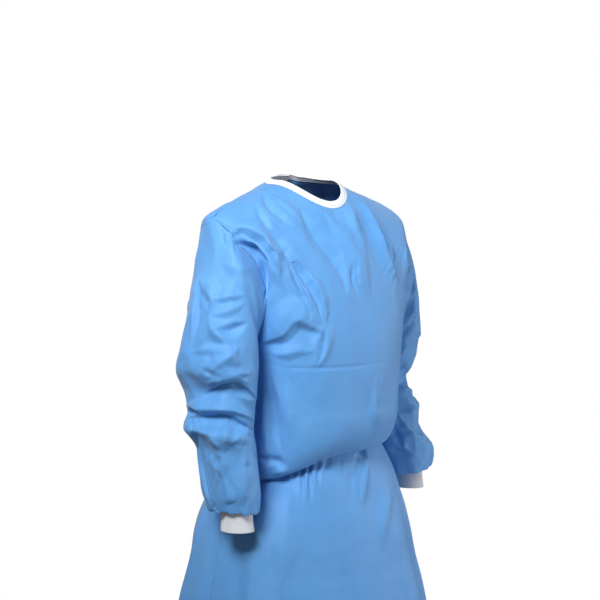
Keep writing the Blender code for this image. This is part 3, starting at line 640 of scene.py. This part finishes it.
# %% Hidden creases
PACKED_ACROSS = ("packing across", 0.0012, 0.007, 0.007, 1.0, ((0.0, 0.53), (0.5, 0.53), (1.0, 0.53)))
PACKED_LOW = ("packing low", -0.0012, 0.007, 0.007, 1.0, ((0.0, 0.77), (0.5, 0.77), (1.0, 0.77)))
BACK_LEFT_CREASES = (
    ("blade", 0.0050, 0.014, 0.010, 0.7, ((0.12, 0.05), (0.30, 0.12), (0.42, 0.22))),
    ("blade below", 0.0040, 0.012, 0.010, 0.7, ((0.10, 0.16), (0.28, 0.20), (0.45, 0.27))),
    ("armhole drag", 0.0045, 0.010, 0.012, 0.8, ((0.08, 0.24), (0.24, 0.24), (0.40, 0.28))),
    ("side", -0.0045, 0.012, 0.012, 0.5, ((0.22, 0.27), (0.28, 0.31), (0.34, 0.36))),
    ("blouse", 0.0045, 0.012, 0.010, 0.7, ((0.14, 0.30), (0.20, 0.34), (0.18, 0.375))),
    ("skirt 1", 0.0080, 0.034, 0.028, 0.2, ((0.20, 0.47), (0.24, 0.66), (0.22, 1.0))),
    ("skirt 2", -0.0060, 0.030, 0.030, 0.2, ((0.40, 0.46), (0.46, 0.66), (0.44, 1.0))),
    ("skirt 3", 0.0070, 0.030, 0.026, 0.2, ((0.62, 0.46), (0.62, 0.70), (0.66, 1.0))),
    PACKED_ACROSS,
    PACKED_LOW,
    ("packing down", 0.0010, 0.007, 0.007, 1.0, ((0.55, 0.05), (0.55, 0.5), (0.55, 1.0))),
)
BACK_RIGHT_CREASES = (
    ("blade", 0.0050, 0.010, 0.014, 0.7, ((0.88, 0.06), (0.72, 0.13), (0.60, 0.20))),
    ("blade below", 0.0035, 0.010, 0.012, 0.7, ((0.90, 0.14), (0.74, 0.19), (0.52, 0.24))),
    ("armhole drag", 0.0045, 0.012, 0.010, 0.8, ((0.92, 0.25), (0.78, 0.25), (0.62, 0.30))),
    ("side", -0.0045, 0.012, 0.012, 0.5, ((0.76, 0.27), (0.70, 0.32), (0.66, 0.36))),
    ("skirt 1", 0.0075, 0.030, 0.034, 0.2, ((0.80, 0.47), (0.77, 0.68), (0.80, 1.0))),
    ("skirt 2", -0.0060, 0.030, 0.030, 0.2, ((0.60, 0.46), (0.55, 0.70), (0.57, 1.0))),
    ("skirt 3", 0.0060, 0.028, 0.028, 0.2, ((0.36, 0.46), (0.34, 0.66), (0.30, 1.0))),
    PACKED_ACROSS,
    PACKED_LOW,
    ("packing down", 0.0010, 0.007, 0.007, 1.0, ((0.45, 0.05), (0.45, 0.5), (0.45, 1.0))),
)
FRONT_LOW_CREASES = (
    PACKED_LOW,
    ("skirt near side", 0.0060, 0.030, 0.026, 0.2, ((0.16, 0.46), (0.14, 0.66), (0.12, 1.0))),
    ("skirt far side", 0.0060, 0.026, 0.030, 0.2, ((0.78, 0.48), (0.80, 0.70), (0.82, 1.0))),
)
creases_by_share(backs["left"], BACK_LEFT_CREASES)
creases_by_share(backs["right"], BACK_RIGHT_CREASES)
creases_by_share(front, FRONT_LOW_CREASES)
print("hidden creases", len(BACK_LEFT_CREASES) + len(BACK_RIGHT_CREASES) + len(FRONT_LOW_CREASES))

# %% [markdown]
# ## Small broken creases
# Between the main creases the cloth is never quite smooth. Short creases of uneven length, depth
# and direction are scattered with fixed seeds, thickly over the sleeves and thinly on the backs,
# and a soft ridged noise gives every large piece a slight papery unevenness.

# %% Scattered creases and unevenness
SMALL_LEAN = 22
SMALL_LENGTHS = (0.6, 1.4)
SMALL_BEND = 0.12
SMALL_HEIGHTS = (0.0015, 0.0040)
SMALL_REACHES = (0.006, 0.018)
SMALL_SHARP = 0.8
NOISE_MIDDLE = 0.22
NOISE_SHIFT = 3.7


def scatter(cloth, seed, count, across, down, slant, size):
    """Adds short creases within a patch given in shares, leaning about a slant in degrees."""
    random = np.random.default_rng(seed)
    for _ in range(count):
        place = np.array([random.uniform(*across), random.uniform(*down)])
        lean = math.radians(random.normal(slant, SMALL_LEAN))
        long = random.uniform(*SMALL_LENGTHS) * size
        step = np.array([math.cos(lean) / cloth.width, math.sin(lean) / cloth.length]) * long / 2
        bend = random.normal(0, SMALL_BEND) * np.array([-step[1], step[0]])
        height = random.choice((1, -1)) * random.uniform(*SMALL_HEIGHTS)
        wide = random.uniform(*SMALL_REACHES, size=2)
        line = (tuple(place - step), tuple(place + bend), tuple(place + step))
        creases_by_share(cloth, (("small", height, wide[0], wide[1], SMALL_SHARP, line),))


def uneven(cloth, seed, across, down, height):
    """Adds a soft ridged unevenness, drawn out along the arm or the body."""
    flat = cloth.base.reshape(-1, 3) / np.array([across, across, down]) + seed
    values = np.array([noise.noise(Vector(place)) for place in flat])
    hold = smooth_step(cloth.seam_distance().ravel() / SEAM_HOLD)
    lift = height * (NOISE_MIDDLE - np.abs(values)) * 2 * hold
    cloth.move_by(lift[:, None] * cloth.normals.reshape(-1, 3))


SCATTER_COLUMNS = ("cloth", "seed", "count", "across", "down", "slant", "size")
SCATTERED = (
    (sleeves["right"], 11, 26, (0.0, 1.0), (0.10, 0.90), 30, 0.05),
    (sleeves["left"], 12, 30, (0.0, 1.0), (0.10, 0.90), 30, 0.05),
    (backs["left"], 13, 14, (0.10, 0.85), (0.08, 0.36), 70, 0.06),
    (backs["right"], 14, 14, (0.15, 0.90), (0.08, 0.36), 110, 0.06),
)
for row in SCATTERED:
    scatter(*row)
print("a scatter row holds", SCATTER_COLUMNS)
UNEVEN = (
    (front, 0.06, 0.14, 0.0014),
    (backs["left"], 0.06, 0.15, 0.0022),
    (backs["right"], 0.06, 0.15, 0.0022),
    (sleeves["left"], 0.035, 0.06, 0.0022),
    (sleeves["right"], 0.035, 0.06, 0.0022),
)
for number, (cloth, across, down, height) in enumerate(UNEVEN):
    uneven(cloth, NOISE_SHIFT * number, across, down, height)
print("unevenness added to", len(UNEVEN), "pieces")

# %% [markdown]
# ## Making the cloth
# A grid primitive gives the faces, and each of its points goes to its place in the net. Sewn and
# cut edges turn in, over a small round, so that a seam shows as a fine groove with folded cloth
# behind it. Solidify then gives the sheet its thickness on the inside, which keeps the outer
# surface exactly where it was placed.

# %% Cloth meshes
CLOTH_THICKNESS = 0.0007
TUBE_MERGE = 1e-6
TURN_IN = ((-0.0005, 0.0), (-0.0001, 0.0002), (0.0, 0.0007), (0.0, 0.0040))


def turned_edge(points, normals, axis, end, depth):
    """Replaces the line at one edge by a few that turn over a small round into the gown."""
    points, normals = np.moveaxis(points, axis, 0), np.moveaxis(normals, axis, 0)
    if end == "first":
        points, normals = points[::-1], normals[::-1]
    edge, out = points[-1], normals[-1]
    onward = unit(points[-1] - points[-2])
    lines = [edge + onward * along * depth - out * down * depth for along, down in TURN_IN]
    points = np.concatenate([points[:-1], np.array(lines)])
    normals = np.concatenate([normals[:-1], np.repeat(out[None], len(lines), axis=0)])
    if end == "first":
        points, normals = points[::-1], normals[::-1]
    return np.moveaxis(points, 0, axis), np.moveaxis(normals, 0, axis)


def mesh_from(shape, name):
    """A mesh of a bmesh, which is freed."""
    mesh = bpy.data.meshes.new(name)
    shape.to_mesh(mesh)
    shape.free()
    return mesh


def sheet_object(name, points, thickness, finish, tube=False):
    """A mesh of the net with its flat coordinates as a UV map, and a thickness on the inside."""
    rows, columns = points.shape[:2]
    shape = bmesh.new()
    bmesh.ops.create_grid(shape, x_segments=columns - 1, y_segments=rows - 1, size=0.5)
    mesh = mesh_from(shape, name)
    places = np.zeros(len(mesh.vertices) * 3)
    mesh.vertices.foreach_get("co", places)
    places = places.reshape(-1, 3)
    share = (places - places.min(0)) / np.maximum(np.ptp(places, axis=0), 1e-9)
    column = np.round(share[:, 0] * (columns - 1)).astype(int)
    row = np.round((1 - share[:, 1]) * (rows - 1)).astype(int)
    mesh.vertices.foreach_set("co", points[row, column].ravel())
    corner = np.zeros(len(mesh.loops), int)
    mesh.loops.foreach_get("vertex_index", corner)
    u, v = places_on(points)
    flat = np.stack([u - u[:, -1:] / 2, -v], -1)
    layer = mesh.uv_layers.new(name="cloth")
    layer.data.foreach_set("uv", flat[row[corner], column[corner]].ravel())
    if tube:
        shape = bmesh.new()
        shape.from_mesh(mesh)
        bmesh.ops.remove_doubles(shape, verts=shape.verts, dist=TUBE_MERGE)
        shape.to_mesh(mesh)
        shape.free()
    mesh.shade_smooth()
    mesh.materials.append(finish)
    made = placed(name, mesh)
    wall = made.modifiers.new("thickness", "SOLIDIFY")
    wall.thickness = thickness
    wall.offset = -1.0
    return made


# %% [markdown]
# ## The finishes
# Every finish is one Principled shader with a few patterns. A small class wraps a socket so that
# the maths of a pattern can be written as plain sums. The cloth is bonded by rows of tiny dots,
# its fibres lie unevenly, and it has a soft satin sheen.

# %% Shader tools
class Wire:
    """One value in a material, with the usual sums on it."""

    def __init__(self, finish, socket):
        self.finish = finish
        self.socket = socket

    def sum(self, operation, first, second=0.0):
        """One Math node on two values."""
        return self.finish.node("ShaderNodeMath", {"operation": operation}, {0: first, 1: second})

    def __add__(self, other):
        return self.sum("ADD", self, other)

    def __sub__(self, other):
        return self.sum("SUBTRACT", self, other)

    def __mul__(self, other):
        return self.sum("MULTIPLY", self, other)

    def __rsub__(self, other):
        return self.sum("SUBTRACT", other, self)

    __radd__ = __add__
    __rmul__ = __mul__


class Finish:
    """A material, its Principled shader and the nodes that feed it."""

    def __init__(self, name, **settings):
        self.material = bpy.data.materials.new(name)
        self.material.use_nodes = True
        self.tree = self.material.node_tree
        self.shader = self.tree.nodes["Principled BSDF"]
        self.set(**settings)

    def set(self, **sockets):
        """Links or sets the shader's sockets by name."""
        for socket, value in sockets.items():
            self.plug(self.shader.inputs[socket.replace("_", " ")], value)

    def plug(self, socket, value):
        """Links a wire to a socket, or sets a plain value on it."""
        if isinstance(value, Wire):
            self.tree.links.new(value.socket, socket)
        else:
            socket.default_value = value

    def node(self, kind, settings=None, sockets=None, out=0):
        """A node of a type with its settings, and values or links on its sockets."""
        made = self.tree.nodes.new(kind)
        for key, value in (settings or {}).items():
            setattr(made, key, value)
        for key, value in (sockets or {}).items():
            self.plug(made.inputs[key], value)
        return Wire(self, made.outputs[out])

    def mix(self, share, first, second):
        """A colour between two others."""
        sockets = {0: share, 6: first, 7: second}
        return self.node("ShaderNodeMix", {"data_type": "RGBA"}, sockets, out=2)

    def noise(self, places, scale, detail=2.0, roughness=0.5):
        """Soft noise between 0 and 1."""
        sockets = {"Vector": places, "Scale": scale, "Detail": detail, "Roughness": roughness}
        return self.node("ShaderNodeTexNoise", None, sockets)

    def wave(self, value):
        """The sine of a value."""
        return self.node("ShaderNodeMath", {"operation": "SINE"}, {0: value})

    def ramp(self, value, start, end, first=0.0, last=1.0):
        """A value carried from one range to another, and held at its ends."""
        return self.node("ShaderNodeMapRange", None, {0: value, 1: start, 2: end, 3: first, 4: last})

    def parts(self, places, number):
        """One coordinate of a place."""
        return self.node("ShaderNodeSeparateXYZ", None, {0: places}, out=number)

    def bump(self, height, distance, strength=1.0):
        """A surface direction from a height in metres at full strength."""
        sockets = {"Height": height, "Distance": distance, "Strength": strength}
        return self.node("ShaderNodeBump", None, sockets)


# %% [markdown]
# ## Blue nonwoven cloth
# The cloth is spunbond: fibres melted together at points about a millimetre apart. The dots make
# a fine diamond emboss, and the fibres leave faint streaks along the piece and paler and darker
# patches. The colour is even, so the patches stay slight.

# %% Gown cloth finish
GOWN_PALE = (0.122, 0.350, 0.720, 1.0)
GOWN_DEEP = (0.082, 0.282, 0.640, 1.0)
DOT_PITCH = 0.0016
DOT_DEPTH = 0.00005
FIBRE_SCALE = (900.0, 90.0, 1.0)
FIBRE_DEPTH = 0.00008
CRINKLE_DEPTH = 0.0009
EMBOSS = 0.8
PATCH_SHARE, CLOUD_SHARE, FIBRE_SHARE = 1.2, 0.5, 0.45
CLOTH_ROUGHNESS = 0.58
CLOUD_ROUGHNESS = 0.16


def gown_cloth():
    """Bonded blue cloth with its dots, fibres and faint patches."""
    finish = Finish("gown_cloth", Specular_IOR_Level=0.30)
    finish.set(Sheen_Weight=0.15, Sheen_Roughness=0.50)
    cloth_places = finish.node("ShaderNodeUVMap", {"uv_map": "cloth"})
    room_places = finish.node("ShaderNodeTexCoord", out=3)
    u, v = finish.parts(cloth_places, 0), finish.parts(cloth_places, 1)
    turn = 2 * math.pi / DOT_PITCH
    dots = finish.wave((u + v) * (turn / 2)) * finish.wave((u - v) * (turn / 2))
    stretch = {"Vector": cloth_places, "Scale": FIBRE_SCALE}
    long_places = finish.node("ShaderNodeMapping", {"vector_type": "POINT"}, stretch)
    fibres = finish.noise(long_places, scale=1.0, detail=3.0, roughness=0.6)
    patches = finish.noise(room_places, scale=9.0, detail=4.0, roughness=0.55)
    clouds = finish.noise(room_places, scale=160.0, detail=3.0, roughness=0.6)
    pale = (patches - 0.5) * PATCH_SHARE + (clouds - 0.5) * CLOUD_SHARE + (fibres - 0.5) * FIBRE_SHARE + 0.5
    colour = finish.mix(pale, GOWN_DEEP, GOWN_PALE)
    crinkle = finish.noise(room_places, scale=55.0, detail=3.0, roughness=0.5)
    height = dots * DOT_DEPTH + fibres * FIBRE_DEPTH + crinkle * CRINKLE_DEPTH
    finish.set(Base_Color=colour, Roughness=CLOTH_ROUGHNESS + (clouds - 0.5) * CLOUD_ROUGHNESS)
    finish.set(Normal=finish.bump(height, 1.0, EMBOSS))
    return finish.material


GOWN = gown_cloth()
print("finish", GOWN.name, "with", len(GOWN.node_tree.nodes), "nodes")

# %% [markdown]
# ## White binding and knit cuffs
# The neck is bound with a folded white strip, stitched near its lower edge. The cuffs are a fine
# white rib knit, matte and slightly grey in its grooves.

# %% White finishes
BINDING_WHITE = (0.78, 0.82, 0.88, 1.0)
BINDING_SHADE = (0.70, 0.75, 0.84, 1.0)
KNIT_WHITE = (0.80, 0.82, 0.86, 1.0)
KNIT_SHADE = (0.62, 0.66, 0.74, 1.0)
STITCH_PITCH = 0.0034
STITCH_LINE = -0.0098
STITCH_INSIDE, STITCH_OUTSIDE = 0.0003, 0.0007
STITCH_DEPTH = -0.0002
DASH_START, DASH_FULL = -0.5, -0.1
BINDING_GRAIN = 0.00012
BINDING_GRAIN_SHADE, STITCH_SHADE = 0.5, 0.2
LOOP_HEIGHT = 0.0011
LOOP_WIDTH = 0.0009
LOOP_DEPTH = 0.00012
KNIT_GRAIN = 0.0001
KNIT_GRAIN_SHADE, LOOP_SHADE = 0.7, 0.12


def binding_cloth():
    """White bonded tape with one row of stitches near its lower edge."""
    finish = Finish("neck_binding", Roughness=0.62, Specular_IOR_Level=0.3)
    places = finish.node("ShaderNodeUVMap", {"uv_map": "cloth"})
    u, v = finish.parts(places, 0), finish.parts(places, 1)
    grain = finish.noise(places, scale=900.0, roughness=0.6)
    near = finish.node("ShaderNodeMath", {"operation": "ABSOLUTE"}, {0: v - STITCH_LINE})
    row = finish.ramp(near, STITCH_INSIDE, STITCH_OUTSIDE, first=1.0, last=0.0)
    dash = finish.ramp(finish.wave(u * (2 * math.pi / STITCH_PITCH)), DASH_START, DASH_FULL)
    stitch = row * dash
    shade = grain * BINDING_GRAIN_SHADE + stitch * STITCH_SHADE
    colour = finish.mix(shade, BINDING_WHITE, BINDING_SHADE)
    height = stitch * STITCH_DEPTH + row * STITCH_DEPTH + grain * BINDING_GRAIN
    finish.set(Base_Color=colour, Normal=finish.bump(height, 1.0))
    return finish.material


def cuff_knit():
    """Fine white knit: rows of small loops on the modelled ribs."""
    finish = Finish("cuff_knit", Roughness=0.85, Specular_IOR_Level=0.2)
    finish.set(Sheen_Weight=0.3)
    places = finish.node("ShaderNodeUVMap", {"uv_map": "cloth"})
    u, v = finish.parts(places, 0), finish.parts(places, 1)
    loops = finish.wave(v * (2 * math.pi / LOOP_HEIGHT)) * finish.wave(u * (2 * math.pi / LOOP_WIDTH))
    grain = finish.noise(places, scale=700.0, roughness=0.6)
    shade = grain * KNIT_GRAIN_SHADE + loops * LOOP_SHADE
    colour = finish.mix(shade, KNIT_WHITE, KNIT_SHADE)
    height = loops * LOOP_DEPTH + grain * KNIT_GRAIN
    finish.set(Base_Color=colour, Normal=finish.bump(height, 1.0))
    return finish.material


BINDING = binding_cloth()
KNIT = cuff_knit()
print("finishes", BINDING.name, KNIT.name)

# %% [markdown]
# ## The blue pieces
# The five large pieces get their turned edges and become meshes. Each stands for the frame's
# solid of the same name, which is hidden, and is fixed to the body.

# %% Make the large pieces
def declare(piece, node):
    """Fixes a piece to the body and hides the solid it stands for."""
    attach(piece, "root")
    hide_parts(node)


SEAM_TURN = 0.4


def large_piece(cloth, edges):
    """Turns the edges of a piece and makes its mesh."""
    points, normals = cloth.points, normals_of(cloth.points, cloth.tube)
    for axis, end in edges:
        points, normals = turned_edge(points, normals, axis, end, SEAM_TURN)
    name = cloth.node.replace("_panel", "") + "_cloth"
    piece = sheet_object(name, points, CLOTH_THICKNESS, GOWN, cloth.tube)
    declare(piece, cloth.node)
    return piece


PANEL_EDGES = ((1, "first"), (1, "last"), (0, "first"), (0, "last"))
large = [large_piece(cloth, PANEL_EDGES) for cloth in (front, *backs.values())]
large += [large_piece(cloth, ((0, "first"),)) for cloth in sleeves.values()]
for piece in large:
    print(piece.name, len(piece.data.polygons), "faces before thickness")

# %% [markdown]
# ## The cuffs
# A rib knit is a row of narrow columns that stand out from each other. The net of the cuff is made
# fine round the wrist, and every rib is raised as a soft wave, with the lower edge rolled in.

# %% Make the cuffs
CUFF_RIBS = 84
RIB_STEPS = 5
RIB_HEIGHT = 0.00042
RIB_ROUND = 0.7
RIB_MIDDLE = 0.6
CUFF_ROWS = 23
CUFF_TURN = 0.8
KNIT_THICKNESS = 0.0010


def cuff_piece(side):
    """One knit cuff with raised ribs."""
    node = f"cuff_{side}"
    length = lengths(nets[node], 0)[-1]
    points = finer(nets[node], np.linspace(0, length, CUFF_ROWS), CUFF_RIBS * RIB_STEPS, tube=True)
    normals = normals_of(points, tube=True)
    round_it = np.arange(CUFF_RIBS * RIB_STEPS + 1) / RIB_STEPS
    ribs = np.abs(np.sin(math.pi * round_it)) ** RIB_ROUND - RIB_MIDDLE
    points = points + (RIB_HEIGHT * ribs)[None, :, None] * normals
    points, normals = turned_edge(points, normals, 0, "last", CUFF_TURN)
    piece = sheet_object(f"{node}_knit", points, KNIT_THICKNESS, KNIT, tube=True)
    width = float(steps_of(points[0], 0).sum())
    declare(piece, node)
    return piece


cuffs = [cuff_piece(side) for side in SIDES]
print("cuffs", [len(piece.data.polygons) for piece in cuffs], "faces")

# %% [markdown]
# ## The neck binding, the tab and the tie
# The binding is a strip folded over the raw neck edge, so it is a little fuller in the middle and
# its lower edge bites into the cloth. The tab and the tie are flat folded strips of gown cloth.

# %% Make the strips
STRIP_STEP = 0.004
FEWEST_COLUMNS = 8
STRIP_ROUND = 0.0004
STRIP_CORNER = 50
STRIP_COLUMNS = ("node", "name", "finish", "slot", "crown", "rows", "thickness", "held")
STRIPS = (
    ("neck_binding", "neck_binding_tape", BINDING, "neck_binding", 0.0005, 9, 0.0022, "folded"),
    ("neck_tab", "neck_tab_cloth", GOWN, "gown_cloth", 0.0003, 9, 0.0010, "laid"),
    ("waist_tie", "waist_tie_cloth", GOWN, "gown_cloth", 0.0002, 7, 0.0009, "laid"),
    ("tie_tail_left", "tie_tail_left_cloth", GOWN, "gown_cloth", 0.0003, 49, 0.0010, "hung"),
    ("tie_tail_right", "tie_tail_right_cloth", GOWN, "gown_cloth", 0.0003, 49, 0.0010, "hung"),
)


def strip_piece(node, name, finish, slot, crown, rows, thickness, held):
    """A finer strip, a little fuller along its middle, with rounded edges."""
    net = nets[node]
    height, length = lengths(net, 0)[-1], lengths(net, 1)[-1]
    columns = max(FEWEST_COLUMNS, int(length / STRIP_STEP))
    points = finer(net, np.linspace(0, height, rows), columns)
    normals = normals_of(points, tube=False)
    along_rows = length > height
    across = np.linspace(-1, 1, rows if along_rows else columns + 1)
    full = crown * (1 - across**2)
    full = full[:, None, None] if along_rows else full[None, :, None]
    piece = sheet_object(name, points + full * normals, thickness, finish)
    soft = piece.modifiers.new("rounded edges", "BEVEL")
    soft.width = STRIP_ROUND
    soft.segments = 2
    soft.angle_limit = math.radians(STRIP_CORNER)
    declare(piece, node)
    return piece


strips = [strip_piece(*row) for row in STRIPS]
print("strips", [piece.name for piece in strips], "from rows of", STRIP_COLUMNS)

# %% [markdown]
# ## The knot
# The tie is knotted at the back. A ball is drawn out to the knot's size, and slanting grooves
# round it show where the strip is wound over itself.

# %% Make the knot
KNOT_TURNS = 3
KNOT_SLANT = 2.2
KNOT_GROOVE = 0.13
KNOT_SEGMENTS = 64
KNOT_RINGS = 40


def knot_piece():
    """A rounded knot with slanting grooves, the size of the frame's knot."""
    corners = np.array([tuple(corner) for corner in nodes["tie_knot"].bound_box])
    centre, half = corners.mean(0), np.ptp(corners, axis=0) / 2
    shape = bmesh.new()
    bmesh.ops.create_uvsphere(shape, u_segments=KNOT_SEGMENTS, v_segments=KNOT_RINGS, radius=1.0)
    for vert in shape.verts:
        x, y, z = vert.co
        wound = abs(math.sin(KNOT_TURNS * math.atan2(z, y) / 2 + KNOT_SLANT * x))
        drawn = 1 - KNOT_GROOVE * (1 - wound) ** 2 * (1 - x * x)
        vert.co = Vector(centre + half * drawn * np.array([x, y, z]))
    mesh = mesh_from(shape, "tie_knot_wound")
    mesh.shade_smooth()
    mesh.materials.append(GOWN)
    knot = placed("tie_knot_wound", mesh)
    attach(knot, "root")
    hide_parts("tie_knot")
    return knot


print("knot", len(knot_piece().data.polygons), "faces")

# %% [markdown]
# ## Floor and light
# The floor is a plain pale disc well below the hem, because the gown is held at its shoulders.
# A large soft light stands to the picture's left and above, wider ones fill from the front, the
# right and behind, and a pale surround shows as the white background.

# %% Stage
FLOOR_HEIGHT = -1.40
FLOOR_RADIUS = 1.6
FLOOR_SEGMENTS = 96
FLOOR_GREY = (0.86, 0.86, 0.86, 1.0)
LIGHT_AIM = -0.06
OPEN = 180.0
WARM = (1.0, 0.99, 0.97)
COOL = (0.97, 0.98, 1.0)
WHITE = (1.0, 1.0, 1.0)
LIGHT_COLUMNS = ("name", "direction", "distance", "size", "spread", "power", "colour")
LIGHTS = (
    ("key_light", (-0.88, -0.42, 0.70), 2.3, 0.9, 50.0, 7.9, WARM),
    ("fill_light", (0.34, -0.94, -0.10), 2.8, 1.8, OPEN, 21.0, COOL),
    ("rim_light", (0.90, -0.43, 0.0), 3.0, 1.4, OPEN, 27.0, COOL),
    ("rear_light", (0.2, 0.95, 0.25), 3.2, 2.0, OPEN, 14.0, WHITE),
)
SURROUND_LIGHT = 0.16


def area_light(name, direction, distance, size, spread, power, colour):
    """A square soft light that looks at the chest, and fades away from its middle by its spread."""
    data = bpy.data.lights.new(name, "AREA")
    data.size = size
    data.spread = math.radians(spread)
    data.energy = power
    data.color = colour
    light = placed(name, data)
    direction = Vector(direction).normalized()
    light.location = Vector((0.0, 0.0, LIGHT_AIM)) + direction * distance
    light.rotation_euler = direction.to_track_quat("Z", "Y").to_euler()


shape = bmesh.new()
bmesh.ops.create_circle(shape, cap_ends=True, segments=FLOOR_SEGMENTS, radius=FLOOR_RADIUS)
bmesh.ops.translate(shape, verts=shape.verts, vec=(0.0, 0.0, FLOOR_HEIGHT))
floor_mesh = mesh_from(shape, "floor")
floor_mesh.materials.append(Finish("floor", Base_Color=FLOOR_GREY, Roughness=0.9).material)
floor = placed("floor", floor_mesh)

for row in LIGHTS:
    area_light(*row)

world = bpy.data.worlds.new("surround")
bpy.context.scene.world = world
world.use_nodes = True
surround = world.node_tree.nodes["Background"]
surround.inputs["Color"].default_value = (*WHITE, 1.0)
rays = world.node_tree.nodes.new("ShaderNodeLightPath")
level = world.node_tree.nodes.new("ShaderNodeMapRange")
level.inputs["To Min"].default_value = SURROUND_LIGHT
level.inputs["To Max"].default_value = 1.0
world.node_tree.links.new(rays.outputs["Is Camera Ray"], level.inputs["Value"])
world.node_tree.links.new(level.outputs["Result"], surround.inputs["Strength"])
bpy.context.scene.view_settings.view_transform = "Standard"
print("lights", [row[0] for row in LIGHTS], "from rows of", LIGHT_COLUMNS)
